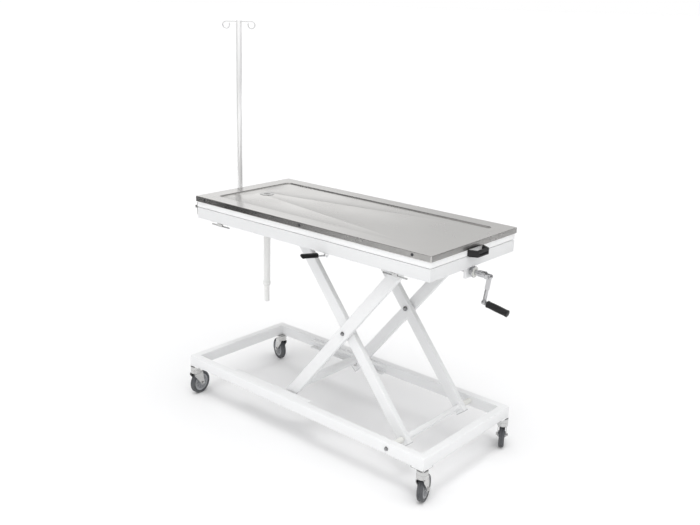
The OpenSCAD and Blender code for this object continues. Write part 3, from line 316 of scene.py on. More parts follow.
# Weld runs. Short fillet beads, rippled as they were laid, where the tubes meet
# at the corners and where guides and round bars are welded on, under the coat.
def growing_tree(name, sizes):
    tree = bpy.data.node_groups.new(name, "GeometryNodeTree")
    sockets = {}
    for label, way, kind in (("Geometry", "INPUT", "Geometry"),
                             *((size, "INPUT", "Float") for size in sizes),
                             ("Material", "INPUT", "Material"), ("Geometry", "OUTPUT", "Geometry")):
        socket = tree.interface.new_socket(name=label, in_out=way, socket_type="NodeSocket" + kind)
        sockets[label] = socket.identifier
    given = add_node(tree, "NodeGroupInput")
    real = add_node(tree, "GeometryNodeRealizeInstances")
    paint = add_node(tree, "GeometryNodeSetMaterial")
    out = add_node(tree, "NodeGroupOutput")
    link_up(tree, (real, "Geometry", paint, "Geometry"), (given, "Material", paint, "Material"),
            (paint, "Geometry", out, "Geometry"))
    return tree, sockets, given, real


def weld_tree():
    tree, sockets, given, real = growing_tree("weld_ripples", ("Spacing", "Bead Radius"))
    least = 0.9
    most = 1.12
    to_curve = add_node(tree, "GeometryNodeMeshToCurve")
    points = add_node(tree, "GeometryNodeCurveToPoints", mode="LENGTH")
    bead = add_node(tree, "GeometryNodeMeshIcoSphere", {"Subdivisions": 2})
    sway = add_node(tree, "FunctionNodeRandomValue", {2: least, 3: most, "Seed": 3}, data_type="FLOAT")
    stand = add_node(tree, "GeometryNodeInstanceOnPoints")
    link_up(tree, (given, "Geometry", to_curve, "Mesh"), (to_curve, "Curve", points, "Curve"),
            (given, "Spacing", points, "Length"), (given, "Bead Radius", bead, "Radius"),
            (points, "Points", stand, "Points"), (points, "Rotation", stand, "Rotation"),
            (bead, "Mesh", stand, "Instance"), (sway, 1, stand, "Scale"),
            (stand, "Instances", real, "Geometry"))
    return tree, sockets


WELD_RIPPLES = weld_tree()


def grown_piece(name, mesh, growth, values, body, nodes=()):
    draft = bpy.data.objects.new(name + "_draft", mesh)
    bpy.context.scene.collection.objects.link(draft)
    grow = draft.modifiers.new("grow", "NODES")
    grow.node_group, sockets = growth
    for label, value in values.items():
        grow[sockets[label]] = value
    grown = bpy.data.meshes.new_from_object(draft.evaluated_get(bpy.context.evaluated_depsgraph_get()))
    bpy.data.objects.remove(draft)
    grown.name = name
    return place_piece(name, grown, body, nodes, sharp=40)


def weld_beads(name, points, edges, radius, spacing, body):
    mesh = bpy.data.meshes.new(name + "_lines")
    mesh.from_pydata(points, edges, [])
    sizes = {"Spacing": spacing, "Bead Radius": radius, "Material": WHITE_COAT}
    return grown_piece(name, mesh, WELD_RIPPLES, sizes, body)


def weld_runs(name, lines, radius, body):
    edges = [(2 * k, 2 * k + 1) for k in range(len(lines))]
    return weld_beads(name, [p for line in lines for p in line], edges, radius, radius * 0.9, body)


def inner_corner_lines(low, high, wide, inset):
    lines = []
    for x in (low.x + wide, high.x - wide):
        for y in (low.y + wide, high.y - wide):
            lines.append((Vector((x, y, low.z + inset)), Vector((x, y, high.z - inset))))
    return lines


weld_inset = 0.006
weld_radius = 0.0022
light_weld_radius = 0.0018
seam_long = 0.055
base_welds = inner_corner_lines(base_low, base_high, rail_wide, weld_inset)
for y, along_y in ((base_low.y, 1), (base_high.y, -1)):
    for x, along_x in ((base_low.x, 1), (base_high.x, -1)):
        corner = Vector((x, y, base_low.z))
        for inward in (Vector((0, along_y, 0)), Vector((along_x, 0, 0))):
            base_welds.append((corner + inward * seam_long, corner + inward * weld_inset))
weld_runs("base_welds", base_welds, weld_radius, "base")


# Lower guides. Pressed steel channels welded inside the long tubes, open
# towards the middle, in which the rollers of the outer arms run.
def soft_copy(name, node, body, material, width, steps=2):
    shape = bmesh.new()
    shape.from_mesh(frame["nodes"][node].data)
    bmesh.ops.remove_doubles(shape, verts=shape.verts, dist=1e-6)
    bmesh.ops.dissolve_limit(shape, angle_limit=math.radians(0.5), verts=shape.verts, edges=shape.edges)
    soften(shape, width, steps)
    return finish_piece(name, shape, body, material, (node,))


soft_copy("lower_guides", "base_guides", "base", WHITE_COAT, 0.0008)
guide_low, guide_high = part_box("base_guides")
guide_welds = []
stitch = 0.03
stitches = 5
end_gap = 0.02
stitch_pitch = (guide_high.x - guide_low.x - 2 * end_gap - stitch) / (stitches - 1)
for y in (guide_low.y, guide_high.y):
    for z in (guide_low.z, guide_high.z):
        for k in range(stitches):
            start = Vector((guide_low.x + end_gap + k * stitch_pitch, y, z))
            guide_welds.append((start, start + Vector((stitch, 0, 0))))
weld_runs("guide_welds", guide_welds, light_weld_radius, "base")


# Casters. Zinc-plated swivel forks under welded plates, with grey moulded
# wheels that carry a darker rubber tyre, on plated axle bolts.
def round_about(axis, count):
    across = axis.orthogonal().normalized()
    other = axis.cross(across)
    angles = [2 * math.pi * k / count for k in range(count)]
    return [across * math.cos(angle) + other * math.sin(angle) for angle in angles]


def turned(profile, axis_point, axis, count, shape=None):
    shape = bmesh.new() if shape is None else shape
    axis = Vector(axis).normalized()
    middle = Vector(axis_point)
    rings = [[shape.verts.new(middle + axis * h + out * max(r, 1e-5)) for r, h in profile]
             for out in round_about(axis, count)]
    for ring, following in zip(rings, rings[1:] + rings[:1]):
        for m in range(len(profile) - 1):
            shape.faces.new((ring[m], following[m], following[m + 1], ring[m + 1]))
    bmesh.ops.remove_doubles(shape, verts=shape.verts, dist=2.5e-5)
    bmesh.ops.recalc_face_normals(shape, faces=shape.faces)
    return shape


def mirrored_profile(half):
    return half + [(r, -h) for r, h in reversed(half)]


ZINC = grained_material("zinc_plate", (0.55, 0.56, 0.57), (0.65, 0.64, 0.62), 160.0, 0.00005,
                        (0.16, 0.3), dust=0.3, dust_reach=0.14, dust_colour=(0.3, 0.29, 0.27),
                        Metallic=1.0)
TYRE_RUBBER = grained_material("tyre_rubber", (0.062, 0.066, 0.073), (0.09, 0.094, 0.101), 420.0, 0.0002,
                               (0.55, 0.75), dust=0.5, dust_reach=0.11, dust_colour=(0.24, 0.235, 0.23))
WHEEL_PLASTIC = grained_material("wheel_plastic", (0.34, 0.35, 0.37), (0.40, 0.41, 0.43), 300.0, 0.00015,
                                 (0.38, 0.52), dust=0.4, dust_reach=0.12)
caster_joints = {j["child"]: j for j in frame["joints"]}
wheel_radius = 0.055
tyre_wide = 0.024
tyre_deep = 0.014
hub_radius = wheel_radius - tyre_deep


def tyre_profile():
    half = [(hub_radius + 0.0004, tyre_wide / 2 - 0.001), (hub_radius + 0.0034, tyre_wide / 2),
            (hub_radius + 0.0052, tyre_wide / 2), (hub_radius + 0.006, tyre_wide / 2 - 0.0008),
            (hub_radius + 0.0068, tyre_wide / 2)]
    shoulder = 0.005
    for k in range(7):
        angle = math.pi / 2 * k / 6
        half.append((wheel_radius - shoulder + shoulder * math.sin(angle),
                     tyre_wide / 2 - shoulder + shoulder * math.cos(angle)))
    groove = 0.0016
    half += [(wheel_radius, groove * 1.6), (wheel_radius - groove, groove * 0.7)]
    return mirrored_profile(half)


def hub_profile():
    face = tyre_wide / 2 - 0.0012
    half = [(0.0062, 0.0153), (0.0125, 0.0153), (0.0138, 0.0142), (0.0142, 0.006), (0.0165, 0.0043),
            (0.0295, 0.0043), (0.032, 0.006), (0.0335, face - 0.001), (0.0346, face), (0.0398, face),
            (hub_radius, face - 0.001)]
    return mirrored_profile(half)


def hub_ribs(shape, centre, axle):
    ribs = 10
    rib_wide = 0.003
    web_face = 0.004
    rib_ends = ((0.0135, 0.0112), (0.0338, 0.0095))
    for out in round_about(axle, ribs):
        along = axle.cross(out) * rib_wide / 2
        for side in (-1, 1):
            a, b, c, d, e, f, g, h = [
                shape.verts.new(centre + out * r + along * w + axle * side * high)
                for r, top in rib_ends for w in (-1, 1) for high in (web_face, top)]
            for face in ((a, b, d, c), (e, g, h, f), (a, e, f, b), (c, d, h, g), (a, c, g, e),
                         (b, f, h, d)):
                shape.faces.new(face)


for place in ("near_left", "far_left", "near_right", "far_right"):
    roll_joint = caster_joints["wheel_" + place]
    axle_point = Vector(roll_joint["pos_m"])
    axle = Vector(roll_joint["axis"])
    finish_piece("tyre_" + place, turned(tyre_profile(), axle_point, axle, 96), "wheel_" + place,
                 TYRE_RUBBER, ("caster_tyre_" + place,))
    hub = turned(hub_profile(), axle_point, axle, 72)
    hub_ribs(hub, axle_point, axle)
    bmesh.ops.recalc_face_normals(hub, faces=hub.faces)
    finish_piece("hub_" + place, hub, "wheel_" + place, WHEEL_PLASTIC,
                 ("caster_hub_" + place,))
    soft_copy("fork_" + place, "caster_fork_" + place, "fork_" + place, ZINC, 0.0008)
soft_copy("mounting_plates", "caster_plates", "base", ZINC, 0.0007)


# Scissor arms. Two pairs of rectangular steel tubes, crossed and pivoted at
# their middles, with grey plastic caps pushed into their square-cut ends.
joint = {j["name"]: j for j in frame["joints"]}
low_pivot = Vector(joint["lift"]["pos_m"])
mid_pivot = Vector(joint["scissor"]["pos_m"])
high_pivot = Vector(joint["level"]["pos_m"])
half_arm = (mid_pivot - low_pivot).length
arm_angle = math.atan2(mid_pivot.z - low_pivot.z, low_pivot.x - mid_pivot.x)
arm_high = 0.05
arm_wide = 0.025
arm_over = 0.026
CAP_PLASTIC = grained_material("cap_plastic", (0.5, 0.505, 0.51), (0.56, 0.56, 0.565), 500.0, 0.0002,
                               (0.42, 0.58))


def arm_bars(lean, near_face):
    shape = bmesh.new()
    along = Vector((math.cos(lean), 0, math.sin(lean)))
    over = Vector((-math.sin(lean), 0, math.cos(lean)))
    section = rounded_section(arm_wide, arm_high, tube_radius)
    for side in (-1, 1):
        middle = Vector((mid_pivot.x, home.y + side * (near_face - arm_wide / 2), mid_pivot.z))
        rings = []
        for reach in (-half_arm - arm_over, 0.0, half_arm + arm_over):
            rings.append([shape.verts.new(middle + along * reach + Vector((0, u, 0)) + over * v)
                          for u, v in section])
        join_rings(shape, rings)
        shape.faces.new(rings[0])
        shape.faces.new(rings[-1])
    bmesh.ops.recalc_face_normals(shape, faces=shape.faces)
    soften(shape, 0.0006)
    return shape


outer_face = (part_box("outer_arms")[1].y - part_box("outer_arms")[0].y) / 2
inner_face = (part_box("inner_arms")[1].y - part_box("inner_arms")[0].y) / 2
finish_piece("outer_arm_bars", arm_bars(arm_angle, outer_face), "outer_frame",
             WHITE_COAT, ("outer_arms",))
finish_piece("inner_arm_bars", arm_bars(-arm_angle, inner_face), "inner_frame",
             WHITE_COAT, ("inner_arms",))
soft_copy("outer_caps", "outer_arm_caps", "outer_frame", CAP_PLASTIC, 0.0008)
soft_copy("inner_caps", "inner_arm_caps", "inner_frame", CAP_PLASTIC, 0.0008)


# Pivots and shafts of the scissor. Plated bolts, through white nylon spacers at
# the fixed ends, and a plated shaft and pins with nylon rollers at the others.
# A round bar is welded across between each pair of arms.
NYLON = grained_material("white_nylon", (0.80, 0.80, 0.77), (0.74, 0.74, 0.71), 260.0, 0.0001,
                         (0.35, 0.5))
BRIGHT_STEEL = grained_material("bright_steel", (0.58, 0.58, 0.59), (0.48, 0.48, 0.49), 90.0, 0.00002,
                                (0.08, 0.18), Metallic=1.0)
BOLT_STEEL = grained_material("bolt_steel", (0.28, 0.28, 0.285), (0.36, 0.36, 0.365), 160.0, 0.00005,
                              (0.12, 0.24), Metallic=1.0)
for place, body in (("lower", "base"), ("upper", "lift_frame"), ("centre", "outer_frame")):
    soft_copy(place + "_bolts", place + "_pivots", body, BOLT_STEEL, 0.0007)


def spacer_sleeves(name, pivot, near, far, body):
    shape = bmesh.new()
    bore = 0.0078
    radius = 0.0124
    chamfer = 0.001
    profile = [(bore, near), (radius - chamfer, near), (radius, near + chamfer), (radius, far)]
    for side in (-1, 1):
        turned(profile, (pivot.x, home.y, pivot.z), (0, side, 0), 48, shape)
    return finish_piece(name, shape, body, NYLON)


sleeve_gap = 0.0003
lift_low, lift_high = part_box("lift_side_rails")
spacer_sleeves("lower_spacers", low_pivot, inner_face + sleeve_gap, base_high.y - home.y - rail_wide,
               "base")
spacer_sleeves("upper_spacers", high_pivot, outer_face + sleeve_gap, lift_high.y - home.y - rail_wide,
               "lift_frame")
soft_copy("outer_cross_bar", "outer_cross_tube", "outer_frame", WHITE_COAT, 0.0005, 1)
soft_copy("inner_foot_bar", "inner_foot_tube", "inner_frame", WHITE_COAT, 0.0005, 1)
soft_copy("top_shaft", "inner_top_shaft", "inner_frame", BRIGHT_STEEL, 0.0006)
soft_copy("roller_pins", "base_roller_pins", "outer_frame", ZINC, 0.0005)
soft_copy("lower_roller_pair", "base_rollers", "lower_rollers", NYLON, 0.001)
soft_copy("upper_roller_pair", "top_rollers", "upper_rollers", NYLON, 0.001)


def ring_welds(name, node, body):
    spacing = 0.002
    ring_steps = 40
    low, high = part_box(node)
    middle = (low + high) / 2
    spokes = [out * (high.z - low.z) / 2 for out in round_about(Vector((0, 1, 0)), ring_steps)]
    points = [Vector((middle.x, y, middle.z)) + spoke for y in (low.y, high.y) for spoke in spokes]
    edges = [(first + k, first + (k + 1) % ring_steps)
             for first in (0, ring_steps) for k in range(ring_steps)]
    return weld_beads(name, points, edges, weld_radius, spacing, body)


ring_welds("cross_bar_welds", "outer_cross_tube", "outer_frame")
ring_welds("foot_bar_welds", "inner_foot_tube", "inner_frame")


# Lift frame. The mitred tube frame that the scissor carries level, with the
# upper guides, two cross members and the bearings of the lift spindle inside.
# A greyer copy of the white powder coat: painted shade that darkens the lift frame's tubes.
LIFT_COAT_PAINTED_SHADE = grained_material("lift_powder_coat_painted_shade", (0.82, 0.825, 0.83), (0.78, 0.785, 0.79), 520.0,
                             0.00008, (0.32, 0.44), Coat_Weight=0.1)
finish_piece("lift_frame_tubes", tube_frame(lift_low, lift_high, rail_wide, tube_radius), "lift_frame",
             LIFT_COAT_PAINTED_SHADE, ("lift_side_rails", "lift_end_rails"))
lift_welds = inner_corner_lines(lift_low, lift_high, rail_wide, weld_inset)
weld_runs("lift_welds", lift_welds, weld_radius, "lift_frame")
soft_copy("upper_guides", "lift_guides", "lift_frame", WHITE_COAT, 0.0008)
soft_copy("cross_members", "lift_cross_members", "lift_frame", WHITE_COAT, 0.0012)
soft_copy("spindle_bearings", "drive_bearings", "lift_frame", WHITE_COAT, 0.0012)


# Tilt frame. A lighter mitred frame of square tube that lies on the lift frame
# and turns up about the hinges at the left, carrying the steel top.
# A whiter copy of the same powder coat: painted light that brightens the tilt frame's tubes.
TILT_COAT_PAINTED_LIGHT = grained_material("tilt_powder_coat_painted_light", (0.95, 0.953, 0.955), (0.92, 0.923, 0.925), 520.0,
                             0.00008, (0.32, 0.44), Coat_Weight=0.1)
tilt_low, tilt_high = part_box("tilt_side_rails")
tilt_wide = 0.025
tilt_radius = 0.0025
finish_piece("tilt_frame_tubes", tube_frame(tilt_low, tilt_high, tilt_wide, tilt_radius), "tilt_top",
             TILT_COAT_PAINTED_LIGHT, ("tilt_side_rails", "tilt_end_rails"))
tilt_welds = inner_corner_lines(tilt_low, tilt_high, tilt_wide, 0.004)
weld_runs("tilt_welds", tilt_welds, light_weld_radius, "tilt_top")
soft_copy("top_bearers", "tilt_bearers", "tilt_top", WHITE_COAT, 0.0012)
soft_copy("lower_leaves", "hinge_leaves_lift", "lift_frame", ZINC, 0.0005)
soft_copy("upper_leaves", "hinge_leaves_tilt", "tilt_top", ZINC, 0.0005)


# Steel top. One sheet of brushed stainless steel, pressed down inside a flat
# rim to a floor that falls to the drain in four panels. The panels sag a little
# between the creases, and the edges are folded into a skirt.
def brushed_grain_group():
    group, given, out = new_group("brushed_grain", ("Along", "Across", "Low", "High"),
                                  ("Height", "Roughness", "Tone"))
    place = add_node(group, "ShaderNodeTexCoord")
    stretch = add_node(group, "ShaderNodeCombineXYZ")
    scaled = add_node(group, "ShaderNodeVectorMath", operation="MULTIPLY")
    lines = add_node(group, "ShaderNodeTexNoise", {"Scale": 1.0, "Detail": 4.0, "Roughness": 0.65})
    smear = add_node(group, "ShaderNodeTexNoise", {"Scale": 5.0, "Detail": 5.0, "Roughness": 0.55})
    spread = add_node(group, "ShaderNodeMapRange", {"From Min": 0.35, "From Max": 0.68})
    link_up(group, (given, "Along", stretch, "X"), (given, "Across", stretch, "Y"),
            (given, "Across", stretch, "Z"), (place, "Object", scaled, 0), (stretch, "Vector", scaled, 1),
            (scaled, "Vector", lines, "Vector"), (place, "Object", smear, "Vector"),
            (smear, "Fac", spread, "Value"), (given, "Low", spread, "To Min"),
            (given, "High", spread, "To Max"), (lines, "Fac", out, "Height"),
            (spread, "Result", out, "Roughness"), (lines, "Fac", out, "Tone"))
    return group


BRUSHED_GRAIN = brushed_grain_group()


def brushed_material(name, colour, shade, along, across, depth, roughness, metallic=1.0):
    material, tree, shader = new_material(name, Metallic=metallic)
    grain = add_node(tree, "ShaderNodeGroup", {"Along": along, "Across": across, "Low": roughness[0],
                                               "High": roughness[1]}, node_tree=BRUSHED_GRAIN)
    tint = add_node(tree, "ShaderNodeMix", {"A": (*colour, 1), "B": (*shade, 1)}, data_type="RGBA")
    bump = add_node(tree, "ShaderNodeBump", {"Strength": 0.6, "Distance": depth})
    link_up(tree, (grain, "Tone", tint, "Factor"), (tint, "Result", shader, "Base Color"),
            (grain, "Roughness", shader, "Roughness"), (grain, "Height", bump, "Height"),
            (bump, "Normal", shader, "Normal"))
    return material


STAINLESS = brushed_material("brushed_stainless", (0.62, 0.61, 0.595), (0.69, 0.68, 0.665), 2.5, 460.0,
                             0.000008, (0.2, 0.3))
top_low, top_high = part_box("steel_top")
strainer_low, strainer_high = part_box("drain_strainer")
drain = (strainer_low + strainer_high) / 2
drain_floor = strainer_low.z
sheet_thick = 0.0015
rim_wide = 0.07
step_deep = 0.005
recess_radius = 0.022
flange_wide = 0.016
corner_steps = 10
side_steps = 14
floor_rings = 16
panel_slope = 0.11


def rectangle_loop(shape, middle, long, wide, radius, z):
    loop = [Vector((middle.x + u, middle.y + v, z))
            for u, v in rounded_section(long, wide, radius, corner_steps)]
    sided = []
    for k, point in enumerate(loop):
        sided.append(point)
        if (k + 1) % (corner_steps + 1) == 0:
            following = loop[(k + 1) % len(loop)]
            sided += [point.lerp(following, m / (side_steps + 1)) for m in range(1, side_steps + 1)]
    return [shape.verts.new(point) for point in sided]


def panel_sag(x, y, wall, seat_reach):
    narrow = 0.004
    fade_end = 0.95
    fade_long = 0.5
    along = x - drain.x
    half = top_high.y - wall - drain.y
    spread = (half - seat_reach) / (top_high.x - wall - drain.x)
    crease = max(0.0, seat_reach + (along - seat_reach) * spread)
    off = abs(y - drain.y)
    wide = half - crease if off > crease else 2 * crease
    if wide < narrow:
        return 0.0
    share = min(1.0, max(0.0, (off - crease if off > crease else off + crease) / wide))
    left_fade = min(1.0, max(0.0, 1 + along / (drain.x - top_low.x - wall)))
    right_fade = min(1.0, max(0.0, (fade_end - along) / fade_long))
    return panel_slope * wide * share * (1 - share) * left_fade * right_fade


def steel_sheet():
    shape = bmesh.new()
    loops = []

    def loop(inset, z, radius):
        loops.append(rectangle_loop(shape, (top_low + top_high) / 2, top_high.x - top_low.x - 2 * inset,
                                    top_high.y - top_low.y - 2 * inset, radius, z))

    fold = 0.003
    loop(flange_wide, top_low.z, 0.001)
    loop(fold * 0.5, top_low.z, 0.002)
    loop(0.0, top_low.z + fold * 0.5, fold)
    for k in range(5):
        angle = math.pi / 2 * k / 4
        loop(fold * (1 - math.cos(angle)), top_high.z - fold + fold * math.sin(angle), fold)
    press = 0.0013
    bend_share = 0.86
    bend = math.pi / 2 * bend_share
    for k in range(5):
        angle = bend * k / 4
        loop(rim_wide - press + press * math.sin(angle), top_high.z - press + press * math.cos(angle),
             recess_radius + press * (1 - math.sin(angle)))
    wall = rim_wide + 0.0008
    floor_z = top_high.z - step_deep
    for k in range(5):
        angle = bend * (1 - k / 4)
        loop(wall + press * (1 - math.sin(angle)), floor_z + press * (1 - math.cos(angle)),
             recess_radius - 0.002 - press * (1 - math.sin(angle)))
    seat = 0.0365
    seat_reach = seat * 0.71
    seat_loop = rectangle_loop(shape, drain, 2 * seat, 2 * seat, seat, drain_floor)
    edge_loop = loops[-1]
    for k in range(1, floor_rings):
        ring = []
        for outer, inner in zip(edge_loop, seat_loop):
            point = outer.co.lerp(inner.co, k / floor_rings)
            point.z -= panel_sag(point.x, point.y, wall + press, seat_reach)
            ring.append(shape.verts.new(point))
        loops.append(ring)
    loops.append(seat_loop)
    for radius, deep in ((0.0215, 0.0), (0.019, 0.001), (0.019, 0.006)):
        loops.append(rectangle_loop(shape, drain, 2 * radius, 2 * radius, radius, drain_floor - deep))
    join_rings(shape, loops)
    bmesh.ops.remove_doubles(shape, verts=shape.verts, dist=1e-5)
    shape.normal_update()
    return shape


sheet = finish_piece("steel_sheet", steel_sheet(), "tilt_top", STAINLESS, ("steel_top",),
                     sharp=28)
crease_lean = 0.2
lean_play = 0.05
straight = 0.004
drain_clear = 0.02
sharp_edges = sheet.data.attributes["sharp_edge"].data
for k, edge in enumerate(sheet.data.edges):
    start, end = [sheet.data.vertices[v].co.xy - drain.xy for v in edge.vertices]
    radial = abs(abs((end - start).normalized().dot(start.normalized())) - 1) < straight
    if radial and start.x > drain_clear and abs(abs(start.y / start.x) - crease_lean) < lean_play:
        sharp_edges[k].value = True
thicken = sheet.modifiers.new("sheet_thickness", "SOLIDIFY")
thicken.thickness = sheet_thick
thicken.offset = -1
even = sheet.modifiers.new("even_shading", "WEIGHTED_NORMAL")
even.keep_sharp = True


# Drain. A perforated strainer plate that drops into the seat of the drain, and
# a white plastic pipe clamped under it that steps down to a hose tail.
STRAINER_STEEL = brushed_material("strainer_steel", (0.52, 0.515, 0.51), (0.6, 0.595, 0.59), 60.0, 60.0,
                                  0.00003, (0.2, 0.34))
soft_copy("strainer_plate", "drain_strainer", "tilt_top", STRAINER_STEEL, 0.0003, 1)
PIPE_PLASTIC = grained_material("pipe_plastic", (0.93, 0.93, 0.92), (0.89, 0.89, 0.87), 30.0, 0.0001,
                                (0.18, 0.3), Coat_Weight=0.2)
pipe_low, pipe_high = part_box("drain_pipe")


def pipe_profile():
    length = pipe_high.z - pipe_low.z
    wide = 0.016
    tail = 0.0125
    wall = 0.0025
    tail_long = 0.084
    collar = 0.030
    socket = 0.014
    z = -length
    step = z + tail_long
    cuff = wide + 0.002
    flange = wide + 0.003
    return [(tail - wall, z), (tail - 0.001, z), (tail, z + 0.001), (tail, step - 0.006), (cuff, step),
            (cuff, step + socket), (cuff - 0.001, step + socket + 0.001), (wide, step + socket + 0.001),
            (wide, -0.03), (flange, -0.028), (flange, -0.008), (collar - 0.001, -0.004), (collar, -0.003),
            (collar, 0.0), (wide - wall, 0.0), (wide - wall, step + wall), (tail - wall, step),
            (tail - wall, z)]


pipe = turned(pipe_profile(), (drain.x, drain.y, pipe_high.z), (0, 0, 1), 56)
finish_piece("waste_pipe", pipe, "tilt_top", PIPE_PLASTIC, ("drain_pipe",))


# Skirt screws. Blackened dome screws, three in each long skirt, that hold the
# steel top to the tilt frame.
def screw_tree():
    tree, sockets, given, real = growing_tree("dome_screws", ("Head Radius",))
    washer_share = 1.18
    head = add_node(tree, "GeometryNodeMeshUVSphere", {"Segments": 24, "Rings": 12})
    flatten = add_node(tree, "GeometryNodeTransform", {"Scale": (1.0, 1.0, 0.5)})
    ring = add_node(tree, "GeometryNodeMeshCylinder", {"Vertices": 24, "Depth": 0.0008})
    wider = add_node(tree, "ShaderNodeMath", {1: washer_share}, operation="MULTIPLY")
    join = add_node(tree, "GeometryNodeJoinGeometry")
    facing = add_node(tree, "GeometryNodeInputNormal")
    turn = add_node(tree, "FunctionNodeAlignRotationToVector", axis="Z")
    keep = add_node(tree, "GeometryNodeCaptureAttribute", domain="FACE")
    keep.capture_items.new("ROTATION", "Turn")
    points = add_node(tree, "GeometryNodeMeshToPoints", mode="FACES")
    stand = add_node(tree, "GeometryNodeInstanceOnPoints")
    link_up(tree, (given, "Head Radius", head, "Radius"), (given, "Head Radius", wider, 0),
            (wider, "Value", ring, "Radius"), (head, "Mesh", flatten, "Geometry"),
            (flatten, "Geometry", join, "Geometry"), (ring, "Mesh", join, "Geometry"),
            (facing, "Normal", turn, "Vector"), (given, "Geometry", keep, "Geometry"),
            (turn, "Rotation", keep, "Turn"), (keep, "Geometry", points, "Mesh"),
            (points, "Points", stand, "Points"), (keep, "Turn", stand, "Rotation"),
            (join, "Geometry", stand, "Instance"), (stand, "Instances", real, "Geometry"))
    return tree, sockets


def seat_mesh(name, seats):
    seat_half = 0.001
    verts = []
    for place, normal in seats:
        across = Vector(normal).orthogonal().normalized() * seat_half
        other = Vector(normal).cross(across)
        verts += [Vector(place) + across * a + other * b
                  for a, b in ((-1, -1), (1, -1), (1, 1), (-1, 1))]
    mesh = bpy.data.meshes.new(name)
    mesh.from_pydata(verts, [], [range(first, first + 4) for first in range(0, len(verts), 4)])
    return mesh


screw_radius = 0.0055
screw_z = (top_low.z + top_high.z) / 2
left_inset = 0.061
right_inset = 0.085
screw_x = (top_low.x + left_inset, (top_low.x + top_high.x) / 2, top_high.x - right_inset)
skirt_seats = [((x, y, screw_z), (0, facing, 0))
               for x in screw_x for y, facing in ((top_low.y, -1), (top_high.y, 1))]
DARK_BOLT = grained_material("blackened_bolt", (0.045, 0.046, 0.05), (0.09, 0.09, 0.095), 240.0, 0.0001,
                             (0.3, 0.5), Metallic=0.6)
grown_piece("skirt_screws", seat_mesh("screw_seats", skirt_seats), screw_tree(),
            {"Head Radius": screw_radius, "Material": DARK_BOLT}, "tilt_top",
            ("top_screws",))


# Bridge handle. A moulded black plastic pull on the right end of the tilt
# frame, open in the middle for the fingers.
BLACK_PLASTIC = grained_material("black_plastic", (0.009, 0.009, 0.0095), (0.015, 0.015, 0.016), 900.0,
                                 0.00025, (0.36, 0.5), Specular_IOR_Level=0.35)
soft_copy("pull_handle", "bridge_handle", "tilt_top", BLACK_PLASTIC, 0.003, 3)


# Release lever. A plated steel blade in a black grip, pivoted in a bracket under
# the near tube, that frees the gas strut when it is pressed down.
soft_copy("lever_blade", "release_lever", "lever", BRIGHT_STEEL, 0.0004)
# A darker, duller copy of the black plastic: painted shade on the lever's grip.
SHADED_GRIP_PLASTIC = grained_material("grip_plastic_painted_shade", (0.003, 0.003, 0.0032), (0.006, 0.006, 0.0063), 900.0,
                               0.00025, (0.5, 0.62), Specular_IOR_Level=0.2)
soft_copy("lever_handle", "lever_grip", "lever", SHADED_GRIP_PLASTIC, 0.0015, 3)
soft_copy("lever_bracket_plate", "lever_bracket", "lift_frame", WHITE_COAT, 0.0005)


# Tie-down cleats. Four plated horned cleats under the long tubes, for the
# cords that hold an animal's legs.
soft_copy("rope_cleats", "tie_cleats", "lift_frame", ZINC, 0.0012)


# Crank drive. A plated spindle under the lift frame with a thread for the nut
# carriage and a white washer on its disc, and at its right end a folding crank
# with a black fluted grip.
spindle_low, spindle_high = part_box("lift_spindle")
spindle_axis = Vector(joint["crank_turn"]["pos_m"])


def thread_tree():
    tree, sockets, given, real = growing_tree("spindle_thread", ("Radius", "Length", "Pitch", "Tooth"))
    turns = add_node(tree, "ShaderNodeMath", operation="DIVIDE")
    spiral = add_node(tree, "GeometryNodeCurveSpiral", {"Resolution": 20})
    tooth = add_node(tree, "GeometryNodeCurvePrimitiveCircle", {"Resolution": 4})
    sweep = add_node(tree, "GeometryNodeCurveToMesh")
    link_up(tree, (given, "Length", turns, 0), (given, "Pitch", turns, 1),
            (turns, "Value", spiral, "Rotations"),
            (given, "Radius", spiral, "Start Radius"), (given, "Radius", spiral, "End Radius"),
            (given, "Length", spiral, "Height"), (given, "Tooth", tooth, "Radius"),
            (spiral, "Curve", sweep, "Curve"), (tooth, "Curve", sweep, "Profile Curve"),
            (sweep, "Mesh", real, "Geometry"))
    return tree, sockets


thread_seed = bpy.data.meshes.new("thread_seed")
thread_seed.from_pydata([(0, 0, 0)], [], [])
plain_end = 0.045
thread_start = spindle_low.x + plain_end
thread_length = 0.92
thread = grown_piece("spindle_thread", thread_seed, thread_tree(),
                     {"Radius": 0.0088, "Length": thread_length, "Pitch": 0.0055, "Tooth": 0.0017,
                      "Material": BRIGHT_STEEL}, "spindle")
thread.data.transform(Matrix.Translation((thread_start, spindle_axis.y, spindle_axis.z))
                      @ Matrix.Rotation(math.pi / 2, 4, "Y"))


def spindle_profile():
    full = 0.010
    root = 0.0086
    start = thread_start - spindle_low.x
    end = start + thread_length
    hair_gap = 1.5e-5
    collar_x = hair_gap + spindle_axis.x - spindle_low.x
    collar = full + 0.004
    collar_long = 0.0142
    disc = 0.0225
    disc_thick = 0.006
    length = spindle_high.x - spindle_low.x
    return [(0.0, 0.0), (full - 0.001, 0.0), (full, 0.001), (full, start - 0.001), (root, start),
            (root, end), (full, end + 0.001), (full, collar_x - collar_long),
            (collar, collar_x - collar_long), (collar, collar_x), (disc - 0.0008, collar_x),
            (disc, collar_x + 0.0008),
            (disc, collar_x + disc_thick - 0.0008), (disc - 0.0008, collar_x + disc_thick),
            (full + 0.001, collar_x + disc_thick), (full, collar_x + disc_thick + 0.001),
            (full, length), (0.0, length)]


